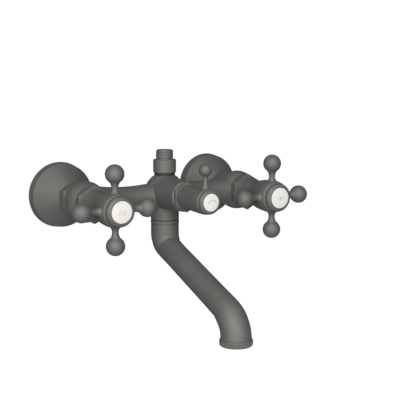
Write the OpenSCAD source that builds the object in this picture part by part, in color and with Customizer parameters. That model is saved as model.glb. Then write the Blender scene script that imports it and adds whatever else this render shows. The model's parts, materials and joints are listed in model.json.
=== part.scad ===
// Exposed wall mixer for bath and shower: two cross handles, a lever diverter,
// a swivelling spout below and a shower outlet above.
// Millimetres. X runs from the hot valve to the cold valve, -Y out of the wall, +Z up.
// The origin lies on the wall, midway between the two inlets, at their height.

/* [Layout] */
// Distance between the two inlets
inlet_pitch = 150; // [140:1:160]
// Distance of the body's waterway from the wall
body_out = 54; // [53:0.5:56]
// Height of the diverter's axis above the inlets
diverter_rise = 3; // [2:0.5:4]

/* [Wall fitting] */
// Diameter of the wall flange
flange_d = 57; // [52:0.5:64]
// Depth of the wall flange
flange_depth = 29; // [27:0.5:29]
// Thickness of the flange's rim
flange_rim = 4; // [3:0.5:6]
// Radius of the G1/2 wall thread
inlet_thread_r = 10.48; // [10.3:0.01:10.5]
// Length of the threaded tail behind the wall
inlet_tail_len = 14; // [10:1:20]
// Width across the flats of the union nut
union_af = 25.5; // [25:0.5:27]
// Radius of the inlet waterway
inlet_bore_r = 6.5; // [6:0.25:7]

/* [Body] */
// Radius of the round side chambers and of the round middle
chamber_r = 17.2; // [16.5:0.1:18]
// Radius of the chamber's threaded front neck
neck_r = 14.2; // [14:0.1:14.6]
// Radius of the arms where they meet the side chambers
arm_end_r = 12.6; // [12:0.1:13]
// Radius of the arms at the waist
arm_waist_r = 10.2; // [9.8:0.1:11]
// Radius of the waterway in the arms
arm_bore_r = 6.5; // [6:0.25:7]
// Radius of the front barrel that holds the diverter
barrel_r = 12.9; // [12.6:0.1:13.4]
// Distance of the barrel's front face from the wall
barrel_out = 89.5; // [88:0.5:91]
// Radius of the spout socket below the body
socket_r = 12.2; // [12:0.1:12.6]

/* [Side valves] */
// Width across the flats of the bonnet
bonnet_af = 28; // [27:0.5:28.5]
// Thickness of the bonnet's hexagon
bonnet_hex_t = 3; // [2.5:0.25:3.5]
// Radius of the bonnet's sleeve at the hexagon
sleeve_root_r = 12.7; // [12.2:0.1:13]
// Radius of the bonnet's sleeve at the handle
sleeve_tip_r = 10; // [9.8:0.1:10.4]
// Radius of the spindles
spindle_r = 4.5; // [4.25:0.05:4.75]
// Radius of the ceramic discs
disc_r = 7.5; // [7.4:0.05:7.6]

/* [Cross handles] */
// Distance of the arms' plane from the wall
arms_out = 108; // [107:0.5:109]
// Distance from the spindle to the middle of each ball
arm_len = 28.5; // [26:0.5:31]
// Radius of the balls
ball_r = 7.65; // [7:0.05:8.2]
// Radius of an arm at its waist
arm_neck_r = 2.65; // [2.4:0.05:3]
// Largest radius of the hub
hub_r = 13.9; // [13.5:0.1:14.3]
// Radius of the cap that holds the index disc
cap_r = 12.2; // [11.8:0.1:12.6]
// Radius of the porcelain index disc
index_r = 8.8; // [8.4:0.1:9.2]

/* [Diverter] */
// Width across the flats of the diverter's bonnet
diverter_af = 22.5; // [22:0.5:23.5]
// Distance of the lever's plane from the barrel's front face
lever_lead = 30.9; // [30:0.1:32]
// Distance from the diverter's axis to the middle of the lever's ball
lever_len = 25.3; // [23:0.1:28]
// Radius of the lever's ball
lever_ball_r = 5.3; // [4.9:0.05:5.8]
// Radius of the lever at its waist
lever_neck_r = 1.45; // [1.4:0.05:1.8]
// Largest radius of the lever's hub
lever_hub_r = 10.9; // [10.7:0.1:11.2]
// Turn of the lever to either side
lever_turn = 45; // [40:1:50]
// Radius of the diverter's index disc
lever_index_r = 7.2; // [6.9:0.1:7.5]

/* [Shower outlet] */
// Radius of the collar
collar_r = 9.9; // [9.5:0.1:10.5]
// Height of the collar
collar_h = 11.8; // [10:0.1:14]
// Radius of the hose thread
nipple_r = 7.5; // [7.4:0.05:8]
// Height of the hose thread
nipple_h = 8.3; // [7:0.1:12]

/* [Spout] */
// Outer radius of the tube at its top and round its upper bend
spout_r = 11.8; // [11.6:0.1:12]
// Outer radius of the slanting run
spout_slant_r = 10.8; // [10.5:0.1:11]
// Outer radius of the lower bend
spout_tip_r = 11.5; // [11.3:0.1:11.7]
// Radius of the tube's waterway
spout_bore_r = 9; // [8.5:0.1:9.3]
// Reach of the spout's outlet from the wall
spout_out = 166; // [160:1:172]
// Slope of the slanting run below the horizontal
spout_slope = 20.5; // [18:0.5:23]
// Radius of the aerator's knurled ring
aerator_r = 13.3; // [13:0.1:13.8]
// Height of the aerator's knurled ring
aerator_h = 6; // [5.5:0.1:7]

/* [Hidden] */
$fn = 96;

hot_x = -inlet_pitch / 2;
cold_x = inlet_pitch / 2;
body_metal = "#5c5c5a";
brass = "#b5a36a";
ceramic_white = "#f1efe9";
rubber = "#2b2b2b";
plastic = "#c9cbc8";
steel = "#b9bcc0";

fit = 0.1;          // running clearance between round surfaces
seat = 0.05;        // clearance between flat faces that turn on each other
free = 0.3;         // clearance between pieces that must not touch
eps = 0.01;         // overlap that keeps cuts clean
band_rise = 0.08;   // rise of the bands that cover the spout's inner joints
band_half = 0.5;    // half the width of such a band

// Distances from the wall along an inlet and its side valve
collar_t = 1.6;                                  // collar that the union nut pulls on
washer_t = 1.5;
nut_lip = 1.5;
nut_back = flange_depth + 0.5;
nut_len = 9;
nut_front = nut_back + nut_len;
tail_end = nut_front - nut_lip - collar_t;       // rear face of the body's tail
connector_end = tail_end - washer_t;
tail_neck_r = inlet_thread_r - 1.7;
tail_screw_r = 8.4;                              // thread that holds the tail in the body
hex_socket_r = inlet_bore_r + 1.2;               // hexagon socket in the connector's front
chamber_neck_end = body_out + 15;                // front face of the chamber's neck
seat_out = body_out - 8;                         // floor of the cartridge pocket
tail_screw_end = seat_out - 1.6;
cartridge_r = 9.2;
cartridge_pocket_end = body_out + 6;             // where the bonnet's thread begins
bonnet_thread_r = 12;
bonnet_hex_end = chamber_neck_end + bonnet_hex_t;
hub_tail = 19.2;                                 // length of the hub behind its arms' plane
hub_back = arms_out - hub_tail;
sleeve_end = hub_back - 0.4;
seal_t = 1.5;
fixed_disc_t = 2.8;
moving_disc_t = 2.6;
driver_t = 3;
disc_out = seat_out + seal_t;
moving_out = disc_out + fixed_disc_t + seat;
driver_out = moving_out + moving_disc_t + seat;
foot_end = driver_out + driver_t;
housing_shoulder = cartridge_pocket_end + 2.5;
housing_end = sleeve_end - 6;
housing_neck_r = 7.2;
spindle_end = arms_out - 1;
spline_r = 4;
spline_out = hub_back + 1;
ring_r = 0.55;                                   // thickness radius of the O-rings
ring_seat_r = spindle_r + fit - 2 * ring_r;      // bottom of an O-ring's groove
ring_rows = [3, 6.5];                            // heights of the O-rings above a housing's shoulder
clip_t = 1;
bead_out = arms_out + 6.6;                       // groove between the hub and its cap
cap_end = arms_out + 12;
index_front = cap_end + 0.4;
index_t = 2.8;                                   // thickness of the index disc
screw_r = 2.2;
screw_head_r = 4;
screw_seat = arms_out + 4;                       // where the handle's screw bears

window_w = 9;                                    // side windows of the cartridges
port_r = 5.6;                                    // reach of the ports in the fixed discs
arm_root = 8.2;                                  // inner end of an arm's screwed stub
stub_r = 2.2;
arm_base_r = 4.9;
arm_waist = 17;                                  // distance of an arm's waist from the spindle
arm_crease_r = 4.2;                              // where the waist runs into the ball

// Distances along the diverter's axis
lever_out = barrel_out + lever_lead;
div_floor = body_out - 10;                       // floor of the diverter's pocket
div_pocket_r = cartridge_r + 0.2;
div_thread_r = 10.6;
div_thread_out = barrel_out - 9;
div_shoulder = div_thread_out + 2;
div_hex_end = barrel_out + 2.6;
div_hub_tail = 15.2;
div_hub_back = lever_out - div_hub_tail;
div_sleeve_end = div_hub_back - 0.4;
div_sleeve_r = 10.3;
div_sleeve_tip_r = 9.7;
div_housing_end = div_sleeve_end - 6;
div_fixed_t = 2;
div_moving_t = 1.8;
div_disc_out = div_floor + 9.5;
div_moving_out = div_disc_out + div_fixed_t + seat;
div_driver_out = div_moving_out + div_moving_t + seat;
div_foot_end = div_driver_out + driver_t;
div_port_r = 6.2;
housing_ring_rows = [div_foot_end + 5, div_foot_end + 9];
housing_ring_seat_r = div_pocket_r - 2 * ring_r;
div_spindle_end = lever_out - 1;
div_bead_out = lever_out + 4.8;
div_cap_r = 10;
div_cap_end = lever_out + 9;
div_index_front = div_cap_end + 0.4;
div_index_t = 2.4;
div_screw_seat = lever_out + 2.4;
lever_root = 6.4;
lever_stub_r = 1.6;
lever_base_r = 3.8;
lever_waist = 17.5;
lever_crease_r = 2.2;

// Heights of the shower outlet
dome_rise = 15.2;                                // height of the middle's flat top above its axis
dome_top = diverter_rise + dome_rise;
outlet_neck_r = 8.4;
collar_base = dome_top + 1.5;
collar_top = collar_base + collar_h;
nipple_top = collar_top + nipple_h;
shower_bore_r = 4.5;
outlet_tail_r = 7.2;
outlet_tail_z = dome_top - 4.6;

// Heights of the spout and its socket
socket_bottom = -20.2;
socket_bore_r = 9.1;
socket_top = -8.4;
tail_r = socket_bore_r - fit;
tail_top = socket_top - 0.6;
tail_bore_r = 6.6;
grub_z = -16.5;
grub_r = 2;
grub_tip_r = 8.2;
tail_ring_rows = [tail_top - 1.4, tail_top - 3.6];
tail_ring_seat_r = socket_bore_r - 2 * ring_r;
slip_t = 0.8;
spout_top = socket_bottom - slip_t;
ring_h = 3.2;                                    // turned ring at the top of the spout
spout_ring_r = 12.3;
tube_top = spout_top - ring_h;
bend_top = -32;                                  // where the upper bend begins
bend_r = 15.3;                                   // radius of the upper bend
tip_bend_r = 20;                                 // radius of the lower bend
bend_turn = 90 - spout_slope;
run_y0 = body_out + bend_r * (1 - cos(bend_turn));
run_z0 = bend_top - bend_r * sin(bend_turn);
run_y1 = spout_out - tip_bend_r * (1 - cos(bend_turn));
run_len = (run_y1 - run_y0) / cos(spout_slope);
run_z1 = run_z0 - run_len * sin(spout_slope);
tip_z = run_z1 - tip_bend_r * sin(bend_turn);    // where the lower bend ends
tip_end_r = 12.5;
tube_end = tip_z - 2;
aerator_end = tube_end - aerator_h;
aerator_thread_r = spout_bore_r + 1.2;

SIDE_PIECES = [
    "wall_connector", "wall_flange", "inlet_washer", "union_nut", "union_tail", "bonnet",
    "cartridge_housing", "seat_seal", "fixed_disc", "moving_disc", "spindle", "spindle_rings",
    "circlip", "handle_hub", "handle_arms", "handle_screw", "index_cap", "index_disc"
];

// Outline helpers

// Points along an arc from angle a0 to a1 round the centre c
function arc(c, r, a0, a1, n = 12) =
    [for (i = [0 : n]) let (a = a0 + (a1 - a0) * i / n) [c[0] + r * cos(a), c[1] + r * sin(a)]];

// Points along a smooth curve that leaves p0 towards p1 and arrives at p2
function curve(p0, p1, p2, n = 8) =
    [for (i = [0 : n]) let (t = i / n) (1 - t) * (1 - t) * p0 + 2 * t * (1 - t) * p1 + t * t * p2];

// A profile of [radius, height] points turned round the local Z axis
module turned(points) {
    rotate_extrude() polygon(points);
}

// A straight round bar between two heights
module bar(r, z0, z1) {
    translate([0, 0, z0]) cylinder(r = r, h = z1 - z0);
}

// A tube between two heights
module tube(r_out, r_in, z0, z1) {
    difference() {
        bar(r_out, z0, z1);
        bar(r_in, z0 - 1, z1 + 1);
    }
}

// A ring of round section
module o_ring(r_mid, r_section, z) {
    translate([0, 0, z]) rotate_extrude() translate([r_mid, 0]) circle(r = r_section, $fn = 24);
}

// A hexagonal bar with two corners up and down, its front corners chamfered
module hexagon(af, z0, z1, chamfer_back = false) {
    corner_r = af / sqrt(3);
    chamfer = corner_r - af / 2;
    rise = chamfer * 0.55;
    intersection() {
        translate([0, 0, z0]) rotate([0, 0, 90]) cylinder(r = corner_r, h = z1 - z0, $fn = 6);
        turned([
            [0, z0], [chamfer_back ? corner_r - chamfer : corner_r + 1, z0],
            [corner_r + 1, chamfer_back ? z0 + rise * (1 + 1 / chamfer) : z0],
            [corner_r + 1, z1 - rise * (1 + 1 / chamfer)], [corner_r - chamfer, z1], [0, z1]
        ]);
    }
}

// Turns a piece drawn along +Z so that it points out of the wall
module out_of_wall(x, z) {
    translate([x, 0, z]) rotate([90, 0, 0]) children();
}

// Wall fitting, drawn along +Z from the wall

module wall_connector() {
    shoulder_r = inlet_thread_r + 0.35;
    color(brass) difference() {
        union() {
            bar(inlet_thread_r, -inlet_tail_len, connector_end);
            bar(shoulder_r, 1, flange_depth - 7);
        }
        bar(inlet_bore_r, -inlet_tail_len - 1, connector_end + 1);
        translate([0, 0, connector_end - 7]) cylinder(r = hex_socket_r, h = 8, $fn = 6);
    }
}

module wall_flange() {
    rim_r = flange_d / 2;
    lip_r = rim_r - 2.1;
    neck = inlet_thread_r + 2.1;
    wall = 1.6;
    edge = 1.2;
    flange_mid_r = (lip_r + neck) / 2;
    flange_mid = flange_depth * 0.42;
    color(body_metal) turned(concat(
        [[inlet_thread_r + fit, flange_depth], [inlet_thread_r + fit, flange_depth - 6]],
        curve([neck + 0.2, flange_depth - 7.6], [flange_mid_r - 2, flange_mid - 1],
              [lip_r - wall - 1.2, flange_rim - 0.6]),
        [[lip_r - wall, flange_rim - 1.6], [lip_r - wall, 0], [rim_r, 0], [rim_r, flange_rim - edge]],
        arc([rim_r - edge, flange_rim - edge], edge, 0, 90, 5),
        curve([lip_r, flange_rim + 0.5], [flange_mid_r, flange_mid],
              [neck, flange_depth - 1.5], 14),
        [[neck, flange_depth]]
    ));
}

module union_nut() {
    color(body_metal) difference() {
        hexagon(union_af, nut_back, nut_front, true);
        bar(inlet_thread_r + fit, nut_back - 1, nut_front - nut_lip);
        bar(tail_neck_r + fit, nut_back - 1, nut_front + 1);
    }
}

module inlet_washer() {
    color(rubber) tube(inlet_thread_r - 0.2, hex_socket_r + 0.1, connector_end, tail_end);
}

// Screwed into the body after the nut is slipped over it, so that the nut can't come off
module union_tail() {
    color(brass) difference() {
        union() {
            bar(inlet_thread_r - 0.2, tail_end, tail_end + collar_t);
            bar(tail_neck_r, tail_end, nut_front + 0.4);
            bar(tail_screw_r, tail_end, tail_screw_end);
        }
        bar(inlet_bore_r - 0.6, tail_end - 1, tail_screw_end + 1);
    }
}

// Body casting

module arm_outer() {
    run = inlet_pitch / 2;
    sag = arm_end_r - arm_waist_r;
    half = run / 2 - 8;
    waist_curve_r = (half * half + sag * sag) / (2 * sag);
    rotate([0, 90, 0]) rotate_extrude() difference() {
        square([arm_end_r, run]);
        translate([arm_waist_r + waist_curve_r, run / 2 + 1]) circle(r = waist_curve_r, $fn = 240);
    }
}

module side_chamber_outer() {
    translate([0, 0, body_out]) sphere(r = chamber_r);
    bar(neck_r, body_out, chamber_neck_end);
    bar(tail_neck_r + 3, nut_front + 0.4, body_out);
}

module side_chamber_waterway() {
    bar(inlet_bore_r - 0.6, nut_front, seat_out + 1);
    bar(chamber_r, body_out - chamber_r - 1, nut_front + 0.4);
    bar(tail_screw_r + fit / 5, nut_front, tail_screw_end + 0.3);
    bar(cartridge_r + fit, seat_out, cartridge_pocket_end + 1);
    bar(cartridge_r + 2, disc_out + 1, disc_out + 9);
    bar(bonnet_thread_r + fit, cartridge_pocket_end, body_out + chamber_r + 1);
}

module barrel_outer() {
    edge = 1.6;
    turned(concat(
        [[0, body_out]], [[barrel_r, body_out]],
        arc([barrel_r - edge, barrel_out - edge], edge, 0, 90, 6),
        [[0, barrel_out]]
    ));
}

module diverter_waterway() {
    bar(div_pocket_r, div_floor, div_thread_out + 1);
    bar(div_thread_r + fit, div_thread_out, barrel_out + 1);
}

module mixer_body() {
    color(body_metal) difference() {
        union() {
            for (x = [hot_x, cold_x]) out_of_wall(x, 0) side_chamber_outer();
            translate([hot_x, -body_out, 0]) arm_outer();
            mirror([1, 0, 0]) translate([hot_x, -body_out, 0]) arm_outer();
            translate([0, -body_out, diverter_rise]) sphere(r = chamber_r);
            out_of_wall(0, diverter_rise) barrel_outer();
            translate([0, -body_out, 0]) bar(socket_r, socket_bottom, diverter_rise);
            translate([0, -body_out, 0]) bar(outlet_neck_r, diverter_rise, dome_top);
        }
        for (x = [hot_x, cold_x]) out_of_wall(x, 0) side_chamber_waterway();
        translate([hot_x, -body_out, 0]) rotate([0, 90, 0]) bar(arm_bore_r, 0, inlet_pitch);
        out_of_wall(0, diverter_rise) diverter_waterway();
        translate([0, -body_out, 0]) {
            bar(chamber_r, dome_top, dome_top + chamber_r);
            bar(outlet_tail_r + fit, outlet_tail_z, dome_top + 1);
            bar(shower_bore_r, diverter_rise, dome_top);
            bar(socket_bore_r, socket_bottom - 1, socket_top);
            bar(tail_bore_r, tail_top, 0);
        }
        translate([0, -body_out, grub_z]) rotate([-90, 0, 0]) bar(grub_r, 0, chamber_r);
    }
}

// Side valve, drawn along +Z from the wall

module bonnet() {
    wall = 1.5;
    color(body_metal) difference() {
        union() {
            bar(bonnet_thread_r, housing_shoulder, chamber_neck_end + eps);
            hexagon(bonnet_af, chamber_neck_end, bonnet_hex_end);
            turned(concat(
                [[0, bonnet_hex_end - eps]],
                curve([sleeve_root_r, bonnet_hex_end - eps], [sleeve_tip_r + 0.5, bonnet_hex_end + 7],
                      [sleeve_tip_r, sleeve_end], 12),
                [[0, sleeve_end]]
            ));
        }
        bar(housing_neck_r + 1.6, housing_shoulder - 1, sleeve_end - 9);
        bar(sleeve_tip_r - wall, sleeve_end - 9, sleeve_end + 1);
    }
}

// Two side windows let the water out at the level of the moving disc
module cartridge_housing() {
    color(brass) difference() {
        union() {
            bar(cartridge_r, seat_out + 0.5, cartridge_pocket_end);
            bar(bonnet_thread_r - 0.6, cartridge_pocket_end, housing_shoulder);
            bar(housing_neck_r, housing_shoulder - eps, housing_end);
        }
        bar(disc_r + fit, seat_out, foot_end + seat);
        bar(spindle_r + fit, seat_out, housing_end + 1);
        for (side = [0, 180]) rotate([0, 0, side + 90])
            translate([disc_r - 2, -window_w / 2, moving_out]) cube([6, window_w, moving_disc_t + driver_t]);
    }
}

// A sector of a disc, centred on the local X axis
module sector(r, half_angle) {
    polygon(concat([[0, 0]], arc([0, 0], r, -half_angle, half_angle, 16)));
}

module seat_seal() {
    color(rubber) tube(disc_r, port_r - 0.2, seat_out, disc_out);
}

module fixed_disc() {
    color(ceramic_white) translate([0, 0, disc_out]) linear_extrude(fixed_disc_t) difference() {
        circle(r = disc_r);
        for (side = [90, 270]) rotate(side) difference() {
            sector(port_r, 42);
            circle(r = 1.6);
        }
    }
}

// Bow-tie disc: its two blades cover the ports when shut and stand clear when open
module moving_disc() {
    color(ceramic_white) translate([0, 0, moving_out]) linear_extrude(moving_disc_t) difference() {
        union() {
            circle(r = 2.6);
            for (side = [90, 270]) rotate(side) sector(disc_r - 0.1, 44);
        }
        for (side = [90, 270]) rotate(side) translate([4.6, -1]) square([1.6, 2]);
    }
}

// Round spindle from its driver to its splined end, with its grooves and its screw hole
module spindle_shaft(driver, shoulder, clip, spline, end) {
    groove = ring_r + 0.1;
    difference() {
        union() {
            bar(spindle_r, driver, spline);
            bar(spline_r, spline - eps, end);
        }
        for (row = ring_rows)
            tube(spindle_r + 1, ring_seat_r, shoulder + row - groove, shoulder + row + groove);
        tube(spindle_r + 1, spindle_r - 0.8, clip + seat, clip + 3 * seat + clip_t);
        bar(screw_r - 0.3, end - 10, end + 1);
    }
}

module spindle() {
    color(brass) union() {
        spindle_shaft(driver_out, housing_shoulder, housing_end, spline_out, spindle_end);
        translate([0, 0, driver_out]) linear_extrude(driver_t) union() {
            circle(r = spindle_r);
            for (side = [90, 270]) rotate(side) sector(disc_r - 0.1, 44);
        }
        for (side = [90, 270]) rotate([0, 0, side])
            translate([4.7, -0.9, moving_out + 1]) cube([1.4, 1.8, driver_out - moving_out]);
    }
}

module spindle_rings(shoulder) {
    color(rubber) for (row = ring_rows) o_ring(ring_seat_r + ring_r, ring_r - 0.02, shoulder + row);
}

// Circlip in the spindle's groove, its base at height z and its gap upwards
module circlip(z) {
    color(steel) difference() {
        tube(spindle_r + 1.4, spindle_r - 0.75, z, z + clip_t);
        translate([-1.6, 0, z - 1]) cube([3.2, spindle_r + 3, clip_t + 2]);
    }
}

// Cross handle, drawn along +Z from the wall

module hub_outline() {
    bead_r = hub_r - 0.7;
    turned(concat(
        [[0, hub_back]],
        curve([sleeve_tip_r, hub_back], [hub_r - 1.5, hub_back + 0.9],
              [hub_r - 0.7, arms_out - 10.5], 8),
        curve([hub_r - 0.6, arms_out - 10], [hub_r + 0.1, arms_out - 4],
              [hub_r, arms_out + 1], 5),
        curve([hub_r - 0.05, arms_out + 1.5], [hub_r - 0.2, arms_out + 4],
              [bead_r, arms_out + 5.4], 4),
        curve([bead_r - 0.1, arms_out + 5.6], [bead_r - 0.2, bead_out],
              [cap_r - 0.9, bead_out], 3),
        [[0, bead_out]]
    ));
}

module handle_hub() {
    color(body_metal) difference() {
        hub_outline();
        bar(spline_r + fit / 5, hub_back - 1, spindle_end + free);
        bar(screw_r + free, spindle_end, bead_out + 1);
        bar(sleeve_tip_r - 1.5, hub_back - 1, spline_out + free);
        bar(cap_r - 2.4, screw_seat, bead_out + 1);
        for (turn = [0 : 90 : 270]) rotate([0, 0, turn])
            translate([arm_root, 0, arms_out]) rotate([0, 90, 0])
                cylinder(r = stub_r + fit / 5, h = hub_r);
    }
}

// Waisted arm along +Z from the handle's middle, ending in a ball
module waisted_arm(foot, foot_r, waist, waist_r, crease_r, len, knob_r) {
    crease = len - sqrt(knob_r * knob_r - crease_r * crease_r);
    slim_to = waist + (crease - waist) * 0.55;
    turned(concat(
        [[0, foot]],
        curve([foot_r, foot], [waist_r, (foot + waist) / 2], [waist_r, waist], 10),
        curve([waist_r, waist + 0.1], [waist_r, slim_to], [crease_r, crease], 8),
        [[0, crease]]
    ));
    translate([0, 0, len]) sphere(r = knob_r);
}

// Four arms, each with a screwed stub, their feet cut to the round of the hub
module handle_arms() {
    color(body_metal) {
        difference() {
            for (turn = [0 : 90 : 270]) translate([0, 0, arms_out]) rotate([0, 90, turn])
                waisted_arm(hub_r - 1.4, arm_base_r, arm_waist, arm_neck_r, arm_crease_r,
                            arm_len, ball_r);
            hub_outline();
        }
        for (turn = [0 : 90 : 270])
            translate([0, 0, arms_out]) rotate([0, 90, turn]) bar(stub_r, arm_root, hub_r + 1);
    }
}

// Screw that holds a handle on its spindle, its head seated at height head_z
module handle_screw(spindle_top, head_z) {
    color(steel) difference() {
        union() {
            bar(screw_r - 0.32, spindle_top - 8, head_z + eps);
            bar(screw_head_r, head_z, head_z + 2);
        }
        translate([0, 0, head_z + 0.8]) cylinder(r = 1.7, h = 2, $fn = 6);
    }
}

module index_cap() {
    thread_r = cap_r - 2.45;
    thread_end = bead_out - 1.8;
    lap_out = bead_out + 0.1;
    color(body_metal) difference() {
        turned(concat(
            [[0, thread_end], [thread_r, thread_end], [thread_r, lap_out]],
            [[cap_r - 0.5, lap_out], [cap_r, lap_out + 0.5]],
            curve([cap_r, bead_out + 1.8], [cap_r - 0.15, cap_end - 0.5],
                  [index_r + 0.9, cap_end], 8),
            [[0, cap_end]]
        ));
        bar(index_r + 0.08, index_front - index_t, cap_end + 1);
        bar(screw_head_r + 0.6, bead_out - 3, cap_end);
    }
}

// Porcelain disc with a gently domed face
module index_disc(r, front, t) {
    color(ceramic_white) turned(concat(
        [[0, front - t], [r, front - t], [r, front - 0.8]],
        curve([r - 0.15, front - 0.45], [r * 0.5, front], [0, front], 8)
    ));
}

// Everything on one side of the mixer, drawn along +Z from the wall

module side_piece(name) {
    if (name == "wall_connector") wall_connector();
    if (name == "wall_flange") wall_flange();
    if (name == "union_nut") union_nut();
    if (name == "union_tail") union_tail();
    if (name == "inlet_washer") inlet_washer();
    if (name == "bonnet") bonnet();
    if (name == "cartridge_housing") cartridge_housing();
    if (name == "seat_seal") seat_seal();
    if (name == "fixed_disc") fixed_disc();
    if (name == "moving_disc") moving_disc();
    if (name == "spindle") spindle();
    if (name == "spindle_rings") spindle_rings(housing_shoulder);
    if (name == "circlip") circlip(housing_end + 2 * seat);
    if (name == "handle_hub") handle_hub();
    if (name == "handle_arms") handle_arms();
    if (name == "handle_screw") handle_screw(spindle_end, screw_seat);
    if (name == "index_cap") index_cap();
    if (name == "index_disc") index_disc(index_r, index_front, index_t);
}

// Diverter, drawn along +Z from the wall on its own axis

module diverter_bonnet() {
    wall = 1.5;
    color(body_metal) difference() {
        union() {
            bar(div_thread_r, div_shoulder, barrel_out + eps);
            hexagon(diverter_af, barrel_out, div_hex_end);
            turned(concat(
                [[0, div_hex_end - eps]],
                curve([div_sleeve_r, div_hex_end - eps], [div_sleeve_r, div_hex_end + 5],
                      [div_sleeve_tip_r, div_sleeve_end], 8),
                [[0, div_sleeve_end]]
            ));
        }
        bar(div_sleeve_tip_r - wall, div_shoulder - 1, div_sleeve_end + 1);
    }
}

// Lower half: two outlet rooms parted by a web. Upper half: two side windows for the mixed water
module diverter_housing() {
    outlet_room = div_floor + 2;
    room_h = div_disc_out - outlet_room;
    web = 1.6;
    groove = ring_r + 0.1;
    color(brass) difference() {
        union() {
            bar(div_pocket_r - fit, div_floor + 0.4, div_thread_out);
            bar(div_thread_r - 0.3, div_thread_out, div_shoulder);
            bar(housing_neck_r, div_shoulder - eps, div_housing_end);
        }
        difference() {
            bar(disc_r - 0.7, outlet_room, div_disc_out + 1);
            translate([-disc_r, -web / 2, outlet_room - 1]) cube([2 * disc_r, web, room_h + 1]);
        }
        bar(disc_r + fit, div_disc_out, div_foot_end + seat);
        bar(spindle_r + fit, div_disc_out, div_housing_end + 1);
        for (side = [90, 270]) rotate([0, 0, side])
            translate([2, -4, outlet_room + 1]) cube([10, 8, room_h - 2.2]);
        for (side = [0, 180]) rotate([0, 0, side])
            translate([disc_r - 2, -window_w / 2, div_driver_out]) cube([6, window_w, driver_t]);
        for (row = housing_ring_rows)
            tube(div_pocket_r + 1, housing_ring_seat_r, row - groove, row + groove);
    }
}

module diverter_housing_rings() {
    color(rubber) for (row = housing_ring_rows) o_ring(housing_ring_seat_r + ring_r, ring_r - 0.02, row);
}

module diverter_fixed_disc() {
    color(ceramic_white) translate([0, 0, div_disc_out]) linear_extrude(div_fixed_t) difference() {
        circle(r = disc_r);
        for (side = [90, 270]) rotate(side) difference() {
            sector(div_port_r, 30);
            circle(r = 2);
        }
    }
}

// Its two ports stand at 45 degrees, so each reaches one outlet at one end of the lever's travel
module diverter_moving_disc() {
    color(ceramic_white) translate([0, 0, div_moving_out]) linear_extrude(div_moving_t) difference() {
        circle(r = disc_r);
        for (side = [lever_turn, -lever_turn]) rotate(side) difference() {
            sector(div_port_r, 30);
            circle(r = 2);
        }
        rotate(180) translate([4.4, -1.1]) square([1.7, 2.2]);
    }
}

module diverter_spindle() {
    color(brass) union() {
        spindle_shaft(div_driver_out, div_shoulder, div_housing_end, div_hub_back + 1, div_spindle_end);
        translate([-disc_r + 0.4, -2.2, div_driver_out]) cube([disc_r - 0.4, 4.4, driver_t]);
        translate([-6, -1, div_moving_out + 1]) cube([1.5, 2, div_driver_out - div_moving_out]);
    }
}

module diverter_hub_outline() {
    turned(concat(
        [[0, div_hub_back]],
        curve([div_sleeve_tip_r, div_hub_back], [lever_hub_r - 0.5, div_hub_back + 1.5],
              [lever_hub_r - 0.2, lever_out - 4], 8),
        curve([lever_hub_r - 0.1, lever_out - 3.5], [lever_hub_r + 0.1, lever_out],
              [lever_hub_r - 0.3, lever_out + 3.4], 6),
        curve([lever_hub_r - 0.4, lever_out + 3.7], [lever_hub_r - 0.5, div_bead_out],
              [div_cap_r - 0.8, div_bead_out], 3),
        [[0, div_bead_out]]
    ));
}

module diverter_hub() {
    color(body_metal) difference() {
        diverter_hub_outline();
        bar(spline_r + fit / 5, div_hub_back - 1, div_spindle_end + free);
        bar(screw_r + free, div_spindle_end, div_bead_out + 1);
        bar(div_sleeve_tip_r - 1.5, div_hub_back - 1, div_hub_back + 1 + free);
        bar(div_cap_r - 2.4, div_screw_seat, div_bead_out + 1);
        translate([0, lever_root, lever_out]) rotate([-90, 0, 0])
            cylinder(r = lever_stub_r + fit / 5, h = lever_hub_r);
    }
}

module diverter_lever() {
    color(body_metal) {
        difference() {
            translate([0, 0, lever_out]) rotate([-90, 0, 0])
                waisted_arm(lever_hub_r - 1.2, lever_base_r, lever_waist, lever_neck_r,
                            lever_crease_r, lever_len, lever_ball_r);
            diverter_hub_outline();
        }
        translate([0, 0, lever_out]) rotate([-90, 0, 0]) bar(lever_stub_r, lever_root, lever_hub_r + 1);
    }
}

module diverter_index_cap() {
    thread_r = div_cap_r - 2.45;
    thread_end = div_bead_out - 1.8;
    lap_out = div_bead_out + 0.1;
    color(body_metal) difference() {
        turned(concat(
            [[0, thread_end], [thread_r, thread_end], [thread_r, lap_out]],
            [[div_cap_r - 0.4, lap_out], [div_cap_r, lap_out + 0.4]],
            curve([div_cap_r, div_bead_out + 1.4], [div_cap_r - 0.15, div_cap_end - 0.4],
                  [lever_index_r + 0.8, div_cap_end], 8),
            [[0, div_cap_end]]
        ));
        bar(lever_index_r + 0.08, div_index_front - div_index_t, div_cap_end + 1);
        bar(screw_head_r + 0.4, div_bead_out - 3, div_cap_end);
    }
}

// Shower outlet: neck, collar and hose nipple in one turned piece

module shower_outlet() {
    chamfer = 1;
    neck = outlet_neck_r - 0.4;
    relief_r = nipple_r - 0.6;
    color(body_metal) translate([0, -body_out, 0]) difference() {
        turned([
            [0, outlet_tail_z], [outlet_tail_r, outlet_tail_z], [outlet_tail_r, dome_top],
            [neck, dome_top], [neck, collar_base],
            [collar_r - chamfer, collar_base], [collar_r, collar_base + chamfer],
            [collar_r, collar_top - 0.5], [collar_r - 0.5, collar_top],
            [relief_r, collar_top], [relief_r, collar_top + 1],
            [nipple_r, collar_top + 1.4], [nipple_r, nipple_top - 1.2],
            [nipple_r - 1, nipple_top], [0, nipple_top]
        ]);
        bar(shower_bore_r, outlet_tail_z - 1, nipple_top + 1);
    }
}

module shower_outlet_ring() {
    color(rubber) translate([0, -body_out, 0])
        tube(outlet_neck_r + 0.6, outlet_neck_r - 0.35, dome_top + seat, collar_base - seat);
}

// Spout

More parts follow.
